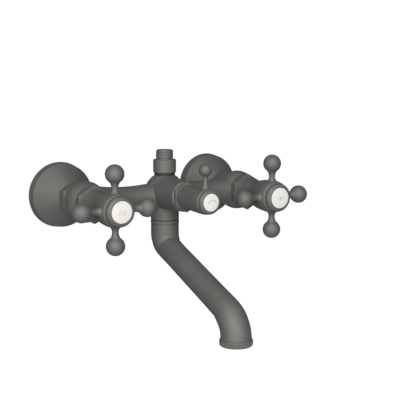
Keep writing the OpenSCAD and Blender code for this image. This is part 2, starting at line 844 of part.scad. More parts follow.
module spout_tail() {
    groove = ring_r + 0.1;
    grub_room = grub_r + free;
    color(body_metal) translate([0, -body_out, 0]) difference() {
        union() {
            bar(tail_r, spout_top, tail_top);
            turned([
                [0, tube_top], [spout_ring_r - 0.5, tube_top], [spout_ring_r, tube_top + 0.5],
                [spout_ring_r, spout_top - 0.4], [spout_ring_r - 0.4, spout_top], [0, spout_top]
            ]);
            bar(spout_bore_r - fit / 5, tube_top - 6, tube_top + 1);
        }
        bar(tail_bore_r, tube_top - 7, tail_top + 1);
        for (row = tail_ring_rows)
            tube(tail_r + 1, tail_ring_seat_r, row - groove, row + groove);
        tube(tail_r + 1, grub_tip_r - free, grub_z - grub_room, grub_z + grub_room);
    }
}

module spout_rings() {
    color(rubber) translate([0, -body_out, 0])
        for (row = tail_ring_rows) o_ring(tail_ring_seat_r + ring_r, ring_r - 0.02, row);
}

module spout_slip_ring() {
    color(plastic) translate([0, -body_out, 0])
        tube(spout_ring_r - 1, tail_r + fit, spout_top + seat, socket_bottom - seat);
}

// Grub screw from the rear: its tip runs in the tail's groove and keeps the spout in
module spout_grub_screw() {
    color(steel) translate([0, -body_out, grub_z]) rotate([-90, 0, 0]) difference() {
        bar(grub_r - 0.02, grub_tip_r, socket_r - 0.3);
        translate([0, 0, socket_r - 2.2]) cylinder(r = 1.15, h = 3, $fn = 6);
    }
}

// Narrow band, a few hundredths of a millimetre proud, over the joint of a straight length
// and a bend of radius r
module joint_band(r) {
    bar(r + band_rise, -band_half, band_half);
}

// The spout's axis lies in the plane X = 0: down, out along a slope, and down again.
// Each straight length reaches a little into its bends, under the joint's band
module spout_run(r_top, r_slant, r_tip, r_end, z_top, z_end) {
    slim = band_rise / 4;
    reach = band_half / 2;
    shrink_to = run_len * 0.2;
    grow_from = run_len * 0.7;
    translate([0, -body_out, bend_top]) {
        joint_band(r_top);
        translate([0, 0, -reach]) cylinder(r = r_top - slim, h = z_top - bend_top + reach);
    }
    translate([0, -body_out - bend_r, bend_top]) rotate([0, -90, 0]) rotate([0, 0, 90])
        rotate_extrude(angle = bend_turn) translate([bend_r, 0]) circle(r = r_top);
    translate([0, -run_y0, run_z0]) rotate([90 + spout_slope, 0, 0]) {
        joint_band(r_top);
        translate([0, 0, -reach])
            cylinder(r1 = r_top - slim, r2 = r_slant - slim, h = shrink_to + reach);
        translate([0, 0, shrink_to]) cylinder(r = r_slant - slim, h = grow_from - shrink_to);
        translate([0, 0, grow_from])
            cylinder(r1 = r_slant - slim, r2 = r_tip - slim, h = run_len - grow_from + reach);
        translate([0, 0, run_len]) joint_band(r_tip);
    }
    translate([0, -spout_out + tip_bend_r, tip_z]) rotate([0, -90, 0]) rotate([0, 0, -90])
        rotate_extrude(angle = bend_turn) translate([tip_bend_r, 0]) circle(r = r_tip);
    translate([0, -spout_out, tip_z]) joint_band(r_tip);
    translate([0, -spout_out, z_end])
        cylinder(r1 = r_end, r2 = r_tip - slim, h = tip_z - z_end + reach);
}

module spout_tube() {
    color(body_metal) difference() {
        spout_run(spout_r, spout_slant_r, spout_tip_r, tip_end_r, tube_top, tube_end);
        spout_run(spout_bore_r, spout_bore_r, spout_bore_r, spout_bore_r, tube_top + 1, tube_end - 1);
        translate([0, -spout_out, 0]) bar(aerator_thread_r + fit, tube_end - 1, tube_end + 3);
    }
}

// Knurled ring that holds the aerator's insert
module aerator_housing() {
    lip_r = spout_bore_r - 0.6;
    color(body_metal) translate([0, -spout_out, 0]) difference() {
        union() {
            turned([
                [0, aerator_end], [aerator_r - 0.9, aerator_end], [aerator_r, aerator_end + 0.8],
                [aerator_r, tube_end - 1.2], [aerator_r - 0.4, tube_end - 0.4],
                [aerator_r - 1, tube_end], [0, tube_end]
            ]);
            bar(aerator_thread_r, tube_end - 1, tube_end + 2.6);
        }
        bar(spout_bore_r, aerator_end + 1.4, tube_end + 3);
        bar(lip_r, aerator_end - 1, tube_end);
    }
}

module aerator_insert() {
    base = aerator_end + 1.4;
    color(plastic) translate([0, -spout_out, 0]) difference() {
        bar(spout_bore_r - fit, base, base + 5.6);
        bar(spout_bore_r - 1.4, base + 2.6, base + 6.6);
        bar(0.7, base - 1, base + 4);
        for (ring = [1 : 3]) for (i = [0 : 6 * ring - 1]) rotate([0, 0, i * 60 / ring])
            translate([ring * 2.2, 0, base - 1]) cylinder(r = 0.7, h = 5, $fn = 6);
    }
}

module aerator_washer() {
    color(rubber) translate([0, -spout_out, 0])
        tube(aerator_thread_r - 0.2, spout_bore_r - 1.6, tube_end + 2.6, tube_end + 3);
}

module on_diverter_axis() {
    out_of_wall(0, diverter_rise) children();
}

mixer_body();
for (side = ["hot", "cold"]) for (name = SIDE_PIECES)
    out_of_wall(side == "hot" ? hot_x : cold_x, 0) side_piece(name);
on_diverter_axis() diverter_bonnet();
on_diverter_axis() diverter_housing();
on_diverter_axis() diverter_housing_rings();
on_diverter_axis() diverter_fixed_disc();
on_diverter_axis() diverter_moving_disc();
on_diverter_axis() diverter_spindle();
on_diverter_axis() spindle_rings(div_shoulder);  // diverter_spindle_rings
on_diverter_axis() circlip(div_housing_end + 2 * seat);  // diverter_circlip
on_diverter_axis() diverter_hub();
on_diverter_axis() diverter_lever();
on_diverter_axis() handle_screw(div_spindle_end, div_screw_seat);  // diverter_screw
on_diverter_axis() diverter_index_cap();
on_diverter_axis() index_disc(lever_index_r, div_index_front, div_index_t);  // diverter_index_disc
shower_outlet();
shower_outlet_ring();
spout_tail();
spout_slip_ring();
spout_rings();
spout_grub_screw();
spout_tube();
aerator_housing();
aerator_insert();
aerator_washer();
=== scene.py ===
"""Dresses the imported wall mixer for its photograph.

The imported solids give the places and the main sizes. This script gives them their finished surfaces:
turned and cast brass under a satin dark coating, porcelain index discs, threads and a knurled ring, in
a plain studio. Sizes are in millimetres unless a docstring says otherwise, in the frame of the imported
model: X from the hot to the cold valve, -Y out of the wall, Z up.
"""
import json
import logging
import math
from collections.abc import Iterable, Mapping, Sequence
from dataclasses import dataclass
from enum import Enum
from functools import cache
from typing import Any

import bpy
import numpy as np
from mathutils import Matrix, Vector


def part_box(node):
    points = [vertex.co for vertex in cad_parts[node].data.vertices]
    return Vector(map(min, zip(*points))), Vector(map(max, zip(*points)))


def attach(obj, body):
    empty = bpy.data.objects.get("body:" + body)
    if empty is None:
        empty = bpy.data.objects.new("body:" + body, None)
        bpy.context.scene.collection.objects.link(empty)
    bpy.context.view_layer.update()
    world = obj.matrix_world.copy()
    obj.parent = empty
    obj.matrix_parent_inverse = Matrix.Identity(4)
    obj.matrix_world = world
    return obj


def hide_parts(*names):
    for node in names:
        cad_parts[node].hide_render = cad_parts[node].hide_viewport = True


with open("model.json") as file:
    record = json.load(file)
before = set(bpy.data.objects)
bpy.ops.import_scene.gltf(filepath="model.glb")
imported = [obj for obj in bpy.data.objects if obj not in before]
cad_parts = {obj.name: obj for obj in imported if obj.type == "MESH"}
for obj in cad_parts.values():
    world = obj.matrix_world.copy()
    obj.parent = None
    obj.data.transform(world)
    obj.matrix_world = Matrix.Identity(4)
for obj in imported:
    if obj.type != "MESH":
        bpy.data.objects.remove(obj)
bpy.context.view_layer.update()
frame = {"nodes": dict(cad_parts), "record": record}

MM = 0.001
ROUND = 128
FINE_ROUND = 160
SUPPORT = 0.06
SAME_POINT = 1e-4
ON_AXIS = 1e-6
NEARLY_STRAIGHT = math.radians(87)
CREASE = math.radians(38)

log = logging.getLogger("wall_mixer")

Point = tuple[float, float]
Colour = tuple[float, float, float]


class Side(Enum):
    """The two inlets, named as their nodes are."""

    HOT = "hot"
    COLD = "cold"


class Signal:
    """A value in a node tree that Python's operators extend with Math nodes."""

    def __init__(self, graph: "Graph", socket: bpy.types.NodeSocket) -> None:
        """Wraps one output socket of a graph."""
        self.graph = graph
        self.socket = socket

    def math(self, operation: str, *values: Any) -> "Signal":
        """Feeds signals or numbers to one Math node and gives its result."""
        return self.graph.signal("Math", {"operation": operation}, dict(enumerate(values)))

    def __add__(self, other: Any) -> "Signal":
        """Adds."""
        return self.math("ADD", self, other)

    __radd__ = __add__

    def __mul__(self, other: Any) -> "Signal":
        """Multiplies."""
        return self.math("MULTIPLY", self, other)

    __rmul__ = __mul__

    def __sub__(self, other: Any) -> "Signal":
        """Subtracts."""
        return self.math("SUBTRACT", self, other)

    def __rsub__(self, other: Any) -> "Signal":
        """Subtracts this value from another."""
        return self.math("SUBTRACT", other, self)

    def __truediv__(self, other: Any) -> "Signal":
        """Divides."""
        return self.math("DIVIDE", self, other)

    def __rtruediv__(self, other: Any) -> "Signal":
        """Divides another value by this one."""
        return self.math("DIVIDE", other, self)

    def fract(self) -> "Signal":
        """Keeps what follows the decimal point."""
        return self.math("FRACT", self)

    def size(self) -> "Signal":
        """Drops the sign."""
        return self.math("ABSOLUTE", self)

    def over(self, limit: float) -> "Signal":
        """Is one where the value passes a limit and nought elsewhere."""
        return self.math("GREATER_THAN", self, limit)

    def ramp(self, low: Any, high: Any) -> "Signal":
        """Eases from nought where the value is `low` to one where it is `high`."""
        return self.graph.signal("MapRange", {"interpolation_type": "SMOOTHSTEP"},
                                 {"Value": self, "From Min": low, "From Max": high})


class Graph:
    """Builds one shader or geometry node tree. The `shared` nodes are named as a shader's in both."""

    shared = ("Math", "MapRange", "Mix", "SeparateXYZ", "CombineXYZ")

    def __init__(self, tree: bpy.types.NodeTree, family: str = "ShaderNode") -> None:
        """Starts on a tree, with the prefix of the nodes that its kind alone has."""
        self.tree = tree
        self.family = family

    def fill(self, node: bpy.types.Node, values: Mapping[Any, Any]) -> None:
        """Links or sets a node's inputs.

        Args:
            node: The node.
            values: Signals or plain values, by the socket's name or number.
        """
        for key, value in values.items():
            if isinstance(value, Signal):
                self.tree.links.new(value.socket, node.inputs[key])
            else:
                node.inputs[key].default_value = value

    def node(self, kind: str, settings: Mapping[str, Any] | None = None,
             values: Mapping[Any, Any] | None = None) -> bpy.types.Node:
        """Adds any node.

        Args:
            kind: The node's type, without its prefix.
            settings: Its own properties, set first.
            values: What its inputs are linked or set to.

        Returns:
            The node.
        """
        prefix = "" if kind.startswith("Node") else "ShaderNode" if kind in self.shared else self.family
        node = self.tree.nodes.new(prefix + kind)
        for name, value in (settings or {}).items():
            setattr(node, name, value)
        self.fill(node, values or {})
        return node

    def signal(self, kind: str, settings: Mapping[str, Any] | None = None,
               values: Mapping[Any, Any] | None = None, output: Any = 0) -> Signal:
        """Adds any node and gives one of its outputs, by name or number."""
        return Signal(self, self.node(kind, settings, values).outputs[output])

    def split(self, vector: Signal) -> list[Signal]:
        """Splits a vector into X, Y and Z."""
        return [Signal(self, part) for part in self.node("SeparateXYZ", {}, {0: vector}).outputs]

    def join(self, x: Any = 0.0, y: Any = 0.0, z: Any = 0.0) -> Signal:
        """Makes a vector of X, Y and Z."""
        return self.signal("CombineXYZ", {}, {0: x, 1: y, 2: z})


class MeshTree(Graph):
    """Builds one geometry tree that takes a mesh, whole numbers, sizes and a material, in that order."""

    def __init__(self, name: str, sizes: Sequence[str] = (), counts: Sequence[str] = ()) -> None:
        """Starts the tree.

        Args:
            name: The tree's name.
            sizes: Names of the inputs that take a number.
            counts: Names of the inputs that take a whole number.
        """
        super().__init__(bpy.data.node_groups.new(name, "GeometryNodeTree"), "GeometryNode")
        kinds = {"Geometry": "Geometry", **dict.fromkeys(counts, "Int"), **dict.fromkeys(sizes, "Float"),
                 "Material": "Material"}
        for label, kind in kinds.items():
            self.tree.interface.new_socket(label, in_out="INPUT", socket_type=f"NodeSocket{kind}")
        self.tree.interface.new_socket("Geometry", in_out="OUTPUT", socket_type="NodeSocketGeometry")
        inputs = self.node("NodeGroupInput").outputs
        self.mesh, *self.sizes, self.material = (Signal(self, inputs[label]) for label in kinds)

    def close(self, geometry: Signal) -> bpy.types.NodeTree:
        """Ends the tree with Realize Instances and Set Material.

        Args:
            geometry: The finished geometry.

        Returns:
            The tree.
        """
        real = self.signal("RealizeInstances", {}, {0: geometry})
        dressed = self.signal("SetMaterial", {}, {"Geometry": real, "Material": self.material})
        self.node("NodeGroupOutput", {}, {0: dressed})
        return self.tree


@dataclass(frozen=True)
class Finish:
    """How one kind of surface looks.

    Lengths are in millimetres. The colour wanders between its own and `deep`, the roughness by
    `roughness_play`, and the surface stands up and down by `grain_height`.
    """

    name: str
    slot: str
    colour: Colour
    deep: Colour
    roughness: float
    roughness_play: float = 0.04
    metallic: float = 0.0
    coat: float = 0.0
    cloud_size: float = 14.0
    grain_size: float = 0.5
    grain_height: float = 0.004
    turning_pitch: float = 0.0
    turning_height: float = 0.0

    def material(self) -> bpy.types.Material:
        """Gives the finish's material, made once."""
        return build_material(self)


@cache
def build_material(finish: Finish) -> bpy.types.Material:
    """Builds a finish's node tree.

    Args:
        finish: The finish.

    Returns:
        The new material.
    """
    material = bpy.data.materials.new(finish.name)
    material.use_nodes = True
    graph = Graph(material.node_tree)
    shader = material.node_tree.nodes["Principled BSDF"]
    place = graph.signal("TexCoord", output="Object")

    def noise(size: float, detail: float) -> Signal:
        """Gives a noise of one size, as a value from nought to one."""
        return graph.signal("TexNoise", {}, {"Vector": place, "Scale": 1 / (size * MM),
                                             "Detail": detail, "Roughness": 0.55}, "Fac")

    cloud = noise(finish.cloud_size, 3.0)
    grain = noise(finish.grain_size, 2.0)
    tint = graph.signal("Mix", {"data_type": "RGBA"}, {"Factor": cloud.ramp(0.3, 0.7), 6: (*finish.deep, 1),
                                                       7: (*finish.colour, 1)}, output=2)
    height = grain * finish.grain_height
    if finish.turning_pitch:
        rings = graph.split(place)[1] / (finish.turning_pitch * MM)
        height = height + (rings + cloud * 0.6).math("SINE", rings * math.tau) * finish.turning_height
    bump = graph.signal("Bump", {}, {"Height": height, "Strength": 1.0, "Distance": MM})
    rough = finish.roughness + (cloud - 0.5) * finish.roughness_play + (grain - 0.5) * finish.roughness_play
    graph.fill(shader, {"Base Color": tint, "Roughness": rough, "Normal": bump, "Metallic": finish.metallic,
                        "Coat Weight": finish.coat})
    return material


GUNMETAL = Finish("satin_gunmetal", "gunmetal", (0.215, 0.214, 0.207), (0.202, 0.201, 0.195), 0.74,
                  metallic=0.8, grain_height=0.0035, grain_size=0.35)
BRASS = Finish("machined_brass", "plain_brass", (0.62, 0.47, 0.22), (0.54, 0.40, 0.18), 0.34,
               metallic=1.0, turning_pitch=0.45, turning_height=0.006)
PORCELAIN = Finish("glazed_porcelain", "porcelain", (0.80, 0.79, 0.76), (0.78, 0.77, 0.73), 0.22,
                   roughness_play=0.02, coat=0.6, grain_height=0.0006, grain_size=1.5)
LAPPED_CERAMIC = Finish("lapped_ceramic", "valve_ceramic", (0.88, 0.87, 0.83), (0.84, 0.83, 0.78), 0.4,
                        grain_height=0.001)
RUBBER = Finish("seal_rubber", "seal_rubber", (0.022, 0.022, 0.022), (0.015, 0.015, 0.015), 0.62,
                grain_height=0.006)
SLIP_PLASTIC = Finish("slip_plastic", "slip_plastic", (0.03, 0.03, 0.03), (0.022, 0.022, 0.022), 0.5)
OUTLET_PLASTIC = Finish("outlet_plastic", "outlet_plastic", (0.56, 0.57, 0.56), (0.5, 0.51, 0.5), 0.42)
STEEL = Finish("plain_steel", "plain_steel", (0.56, 0.56, 0.57), (0.5, 0.5, 0.51), 0.3, metallic=1.0,
               grain_height=0.002)
MARKING = Finish("fired_marking", "porcelain", (0.42, 0.41, 0.38), (0.38, 0.37, 0.35), 0.35,
                 grain_height=0.0005)

FINISH_OF_SLOT = {finish.slot: finish for finish in (GUNMETAL, BRASS, PORCELAIN, LAPPED_CERAMIC, RUBBER,
                                                     SLIP_PLASTIC, OUTLET_PLASTIC, STEEL)}


class Outline:
    """Half-section of a turned piece, walked in steps of (radius, height)."""

    def __init__(self, r: float, z: float, edge: float = 0.0) -> None:
        """Starts at a radius and a height, with the radius that the corner there is rounded to."""
        self.steps: list[tuple[float, float, float]] = [(r, z, edge)]

    def line(self, *corners: tuple[float, ...]) -> "Outline":
        """Goes straight to each corner in turn.

        Args:
            corners: (radius, height) or (radius, height, edge).

        Returns:
            The outline.
        """
        for corner in corners:
            edge = corner[2] if len(corner) > 2 else 0.0
            self.steps.append((corner[0], corner[1], edge))
        return self

    def curve(self, via: Point, end: Point, steps: int = 14, edge: float = 0.0) -> "Outline":
        """Goes to the end on a smooth curve that leaves towards `via`.

        Args:
            via: The curve's control point.
            end: Where it ends.
            steps: Number of points on it.
            edge: Radius that the corner at its end is rounded to.

        Returns:
            The outline.
        """
        r0, z0, _ = self.steps[-1]
        for i in range(1, steps + 1):
            t = i / steps
            a, b, c = (1 - t) ** 2, 2 * t * (1 - t), t * t
            self.steps.append((a * r0 + b * via[0] + c * end[0], a * z0 + b * via[1] + c * end[1],
                               edge if i == steps else 0.0))
        return self

    def rows(self, end: Point, count: int) -> "Outline":
        """Goes straight to the end in many small steps, for a tree that moves the surface."""
        r0, z0, _ = self.steps[-1]
        return self.line(*[(r0 + (end[0] - r0) * i / count, z0 + (end[1] - z0) * i / count)
                           for i in range(1, count + 1)])

    def arc(self, centre: Point, radius: float, start: float, end: float, steps: int = 16) -> "Outline":
        """Follows part of a circle.

        Args:
            centre: The circle's centre.
            radius: Its radius.
            start: First angle in degrees, from the radius direction towards the height.
            end: Last angle.
            steps: Number of steps on it.

        Returns:
            The outline.
        """
        for i in range(steps + 1):
            angle = math.radians(start + (end - start) * i / steps)
            self.steps.append((max(centre[0] + radius * math.cos(angle), 0.0),
                               centre[1] + radius * math.sin(angle), 0.0))
        return self

    def points(self, closed: bool) -> list[Point]:
        """Rounds the corners.

        Args:
            closed: Whether the last point joins the first.

        Returns:
            The finished points.
        """
        corners = [np.array(step[:2]) for step in self.steps]
        found: list[Point] = []
        count = len(corners)
        for i, (here, (_, _, edge)) in enumerate(zip(corners, self.steps)):
            ends = not closed and i in (0, count - 1)
            if edge and not ends:
                found += round_corner(corners[i - 1], here, corners[(i + 1) % count], edge)
            else:
                found.append((float(here[0]), float(here[1])))
        tidy = [p for p, q in zip(found, found[1:] + found[:1]) if math.dist(p, q) > SAME_POINT]
        if not closed and math.dist(found[-1], tidy[-1]) > SAME_POINT:
            tidy.append(found[-1])
        return tidy


def round_corner(before: np.ndarray, here: np.ndarray, after: np.ndarray, edge: float,
                 steps: int = 4) -> list[Point]:
    """Rounds one corner of an outline, with a narrow flat on either side that keeps its shading clean.

    Args:
        before: The point before the corner.
        here: The corner.
        after: The point after it.
        edge: The rounding's radius.
        steps: Steps round the corner.

    Returns:
        The points that take the corner's place.
    """
    back, on = before - here, after - here
    room = min(np.linalg.norm(back), np.linalg.norm(on)) * 0.45
    back, on = back / np.linalg.norm(back), on / np.linalg.norm(on)
    half = math.acos(max(-1.0, min(1.0, float(back @ on)))) / 2
    if half > NEARLY_STRAIGHT:
        return [(float(here[0]), float(here[1]))]
    reach = min(edge / math.tan(half), room)
    radius = reach * math.tan(half)
    middle = (back + on) / np.linalg.norm(back + on)
    centre = here + middle * (radius / math.sin(half))
    first, last = here + back * reach, here + on * reach
    start = math.atan2(*(first - centre)[::-1])
    turn = math.atan2(*(last - centre)[::-1]) - start
    turn = (turn + math.pi) % math.tau - math.pi
    angles = [start + turn * i / steps for i in range(steps + 1)]
    arc = [centre + radius * np.array([math.cos(angle), math.sin(angle)]) for angle in angles]
    guard = min(SUPPORT, room * 0.1)
    points = [first + back * guard, *arc, last + on * guard]
    return [(float(p[0]), float(p[1])) for p in points]


def grid_mesh(name: str, rows: np.ndarray, closed: bool) -> bpy.types.Mesh:
    """Skins rings of points into one closed mesh.

    Args:
        name: The mesh's name.
        rows: Rings of points, in millimetres, as an array of (ring, point, 3).
        closed: Whether the last ring joins the first. Otherwise both ends close on a pole.

    Returns:
        The mesh, its faces outward and smooth.
    """
    count, around = rows.shape[:2]
    vertices = [tuple(p) for p in (rows * MM).reshape(-1, 3)]
    spans = range(count) if closed else range(count - 1)
    faces = [(i * around + j, i * around + (j + 1) % around,
              (i + 1) % count * around + (j + 1) % around, (i + 1) % count * around + j)
             for i in spans for j in range(around)]
    if not closed:
        for ring, turn in ((0, -1), (count - 1, 1)):
            pole = len(vertices)
            vertices.append(tuple((rows[ring] * MM).mean(axis=0)))
            edge = range(ring * around, (ring + 1) * around)
            pairs = zip(edge, list(edge)[1:] + [edge[0]])
            faces += [(a, b, pole) if turn > 0 else (b, a, pole) for a, b in pairs]
    mesh = bpy.data.meshes.new(name)
    mesh.from_pydata(vertices, [], faces)
    if signed_volume(mesh) < 0:
        mesh.flip_normals()
    mesh.shade_smooth()
    return mesh


def signed_volume(mesh: bpy.types.Mesh) -> float:
    """Measures a closed mesh's volume, which is negative when its faces point inwards.

    Args:
        mesh: The mesh.

    Returns:
        The volume in cubic metres.
    """
    mesh.calc_loop_triangles()
    places = np.array([v.co for v in mesh.vertices])
    corners = places[np.array([t.vertices for t in mesh.loop_triangles])]
    return float(np.einsum("ij,ij->i", corners[:, 0], np.cross(corners[:, 1], corners[:, 2])).sum() / 6)


def turned_mesh(name: str, outline: Outline, closed: bool = False, around: int = ROUND) -> bpy.types.Mesh:
    """Turns an outline round the local Z axis.

    Args:
        name: The mesh's name.
        outline: The half-section.
        closed: Whether the section is a loop, as on a ring.
        around: Number of sides.

    Returns:
        The mesh.
    """
    points = [p for p in outline.points(closed) if closed or p[0] > ON_AXIS]
    angles = np.linspace(0, math.tau, around, endpoint=False)
    rows = np.array([[(r * math.cos(a), r * math.sin(a), z) for a in angles] for r, z in points])
    return grid_mesh(name, rows, closed)


@dataclass(frozen=True)
class Hexagon:
    """A hexagon nut or collar, two corners up and down, its corners chamfered by a cone.

    The chamfer starts `keep` outside the flats, to cut the corners alone, and nowhere less than `least`
    inside a side. It falls by `slope`. `soft` breaks the edges, and `crowding` draws points to the corners.
    """

    across: float
    back: float
    front: float
    chamfer_back: bool = False
    keep: float = 1.1
    least: float = 0.15
    slope: float = 0.45
    soft: float = 0.1
    corner: float = 0.3
    per_side: int = 20
    crowding: float = 0.6

    def reach(self, angle: float) -> float:
        """Gives the distance of the side at an angle, its corners rounded.

        Args:
            angle: The angle, in radians, from an upright corner.

        Returns:
            The distance from the axis.
        """
        sixth = math.pi / 3
        off = abs((angle + sixth / 2) % sixth - sixth / 2)
        centre = (self.across / 2 - self.corner) / math.cos(sixth / 2)
        tangent = math.atan2(self.corner * math.sin(sixth / 2), centre + self.corner * math.cos(sixth / 2))
        if off < tangent:
            return centre * math.cos(off) + math.sqrt(self.corner ** 2 - (centre * math.sin(off)) ** 2)
        return self.across / 2 / math.cos(sixth / 2 - off)

    def angles(self) -> list[float]:
        """Lists the angles of the sides' points, closer together near the corners.

        Returns:
            The angles, in radians.
        """
        sixth = math.pi / 3
        crowded = [(math.sin((i / self.per_side - 0.5) * math.pi) + 1) / 2 for i in range(self.per_side)]
        parts = [self.crowding * part + (1 - self.crowding) * i / self.per_side
                 for i, part in enumerate(crowded)]
        return [side * sixth + part * sixth for side in range(6) for part in parts]

    def section(self, angle: float) -> list[Point]:
        """Gives the outer half-section at an angle, from the back edge to the front edge.

        Args:
            angle: The angle, in radians, from an upright corner.

        Returns:
            The points.
        """
        r, soft = self.reach(angle), self.soft
        base = min(self.across / 2 + self.keep, r - self.least)
        drop = (r - base) * self.slope
        back_drop, back_r = (drop, base) if self.chamfer_back else (soft, r - soft)
        return [(back_r - soft, self.back), (back_r + soft * 0.5, self.back + soft * 0.3),
                (r - soft * 0.5, self.back + back_drop * 0.95), (r, self.back + back_drop + soft),
                (r, self.front - drop - soft), (r - soft * 0.6, self.front - drop + soft * 0.35),
                (base + soft * 0.6, self.front - soft * 0.35), (base - soft, self.front)]

    def mesh(self, name: str, before: Sequence[Point], after: Sequence[Point]) -> bpy.types.Mesh:
        """Builds a closed mesh whose section holds the hexagon.

        Args:
            name: The mesh's name.
            before: Round points of the section up to the hexagon's back edge.
            after: Round points of the section from its front edge on.

        Returns:
            The mesh.
        """
        angles = self.angles()
        sections = [[*before, *self.section(angle), *after] for angle in angles]
        rows = np.array([[(-r * math.sin(a), r * math.cos(a), z) for a, (r, z) in zip(angles, ring)]
                         for ring in zip(*sections)])
        return grid_mesh(name, rows, closed=True)


def out_of_wall(x: float = 0.0, z: float = 0.0) -> Matrix:
    """Gives the place of a piece drawn along +Z that points out of the wall from a spot on it."""
    return Matrix.Translation((x * MM, 0, z * MM)) @ Matrix.Rotation(math.pi / 2, 4, "X")


def upright(out: float) -> Matrix:
    """Gives the place of a piece drawn along +Z that stands upright at a distance from the wall."""
    return Matrix.Translation((0, -out * MM, 0))


class Workshop:
    """Finishes pieces: places their meshes, gives them a material and ties them to the frame."""

    def __init__(self) -> None:
        """Sets up the counters."""
        self.made = 0
        self.dressed = 0

    def piece(self, name: str, mesh: bpy.types.Mesh, place: Matrix, body: str, finish: Finish,
              nodes: Iterable[str] = ()) -> None:
        """Makes one finished piece.

        Args:
            name: The piece's name.
            mesh: Its mesh, in metres, about its own axis.
            place: Where it goes.
            body: The body it rides on.
            finish: Its surface.
            nodes: The solids that it stands for.
        """
        mesh.transform(place)
        mesh.name = name
        mesh.set_sharp_from_angle(angle=CREASE)
        mesh.materials.clear()
        mesh.materials.append(finish.material())
        thing = bpy.data.objects.new(name, mesh)
        bpy.context.scene.collection.objects.link(thing)
        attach(thing, body)
        if nodes:
            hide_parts(*nodes)
        self.made += 1
        log.info("made %s: %d faces, on %s", name, len(mesh.polygons), body)

    def dress(self, node: str, finish: Finish) -> None:
        """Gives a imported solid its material.

        Args:
            node: The solid's name.
            finish: Its surface.
        """
        solid = frame["nodes"][node]
        if not solid.material_slots:
            solid.data.materials.append(None)
        for slot in solid.material_slots:
            slot.material = finish.material()
        self.dressed += 1


def run_modifier(mesh: bpy.types.Mesh, tree: bpy.types.NodeTree, finish: Finish,
                 **values: float) -> bpy.types.Mesh:
    """Runs a geometry tree on a mesh and keeps the result as a plain mesh.

    Args:
        mesh: The mesh to start from.
        tree: The geometry tree.
        finish: The finish whose material the tree sets.
        values: The tree's other inputs, lengths in metres.

    Returns:
        The new mesh.
    """
    carrier = bpy.data.objects.new(mesh.name, mesh)
    bpy.context.scene.collection.objects.link(carrier)
    modifier = carrier.modifiers.new(tree.name, "NODES")
    modifier.node_group = tree
    inputs = {**values, "Material": finish.material()}
    for item in tree.interface.items_tree:
        if item.in_out == "INPUT" and item.name in inputs:
            modifier[item.identifier] = inputs[item.name]
    seen = carrier.evaluated_get(bpy.context.evaluated_depsgraph_get())
    result = bpy.data.meshes.new_from_object(seen)
    carrier.modifiers.remove(modifier)
    bpy.data.objects.remove(carrier)
    result.shade_smooth()
    return result


@cache
def thread_tree() -> bpy.types.NodeTree:
    """Builds the tree that cuts a screw thread into a turned mesh about its Z axis.

    Returns:
        The tree, with inputs Pitch, Depth, From, To, Outside and Material.
    """
    tree = MeshTree("cut_thread", ("Pitch", "Depth", "From", "To", "Outside"))
    pitch, depth, low, high, outside = tree.sizes
    root, crest, run_out, skin = 0.12, 0.88, 0.7, 0.97
    x, y, z = tree.split(tree.signal("InputPosition"))
    turn = x.math("ARCTAN2", y, x) / math.tau
    wave = ((z / pitch - turn).fract() * 2 - 1).size()
    window = z.ramp(low, low + pitch * run_out) * (1 - z.ramp(high - pitch * run_out, high))
    radius = x.math("SQRT", x * x + y * y)
    cut = wave.ramp(root, crest) * window * depth * (radius - outside * skin).over(0)
    scale = 0 - cut / radius.math("MAXIMUM", radius, 1e-6)
    return tree.close(tree.signal("SetPosition", {}, {"Geometry": tree.mesh,
                                                      "Offset": tree.join(x * scale, y * scale)}))


@cache
def knurl_tree() -> bpy.types.NodeTree:
    """Builds the tree that sets a row of ribs round a turned mesh about its Z axis.

    Returns:
        The tree, with inputs Count, Radius, Width, Height, Middle and Material.
    """
    tree = MeshTree("knurl", ("Radius", "Width", "Height", "Middle"), counts=("Count",))
    count, radius, width, height, middle = tree.sizes
    ring = tree.signal("MeshCircle", {}, {"Vertices": count, "Radius": radius})
    rib = tree.signal("MeshCylinder", {}, {"Vertices": 16, "Radius": width * 0.5, "Depth": height})
    ribs = tree.signal("InstanceOnPoints", {}, {"Points": ring, "Instance": rib})
    placed = tree.signal("TranslateInstances", {}, {"Instances": ribs, "Translation": tree.join(z=middle)})
    joined = tree.node("JoinGeometry", {}, {0: placed})
    tree.fill(joined, {0: tree.mesh})
    return tree.close(Signal(tree, joined.outputs[0]))


@cache
def spokes_tree() -> bpy.types.NodeTree:
    """Builds the tree that repeats a mesh evenly round its Z axis.

    Returns:
        The tree, with inputs Count and Material.
    """
    tree = MeshTree("spokes", counts=("Count",))
    (count,) = tree.sizes
    points = tree.signal("Points", {}, {"Count": count})
    turn = tree.signal("InputIndex") / count * math.tau
    return tree.close(tree.signal("InstanceOnPoints", {}, {"Points": points, "Rotation": tree.join(z=turn),
                                                           "Instance": tree.mesh}))


@cache
def bend_tree() -> bpy.types.NodeTree:
    """Builds the tree that bends what hangs below a height out along -Y, or back, round a circle.

    Returns:
        The tree, with inputs Start, Radius, Turn, Way and Material.
    """
    tree = MeshTree("bend", ("Start", "Radius", "Turn", "Way"))
    start, radius, turn, way = tree.sizes
    x, y, z = tree.split(tree.signal("InputPosition"))
    below = start - z
    along = below.math("MAXIMUM", below, 0.0)
    along = along.math("MINIMUM", along, radius * turn)
    angle = along / radius
    cosine, sine = angle.math("COSINE", angle), angle.math("SINE", angle)
    rest, side = below - along, y * way
    across = way * (side * cosine - radius * (1 - cosine) - rest * sine)
    height = start - radius * sine - side * sine - rest * cosine
    return tree.close(tree.signal("SetPosition", {}, {"Geometry": tree.mesh,
                                                      "Position": tree.join(x, across, height)}))


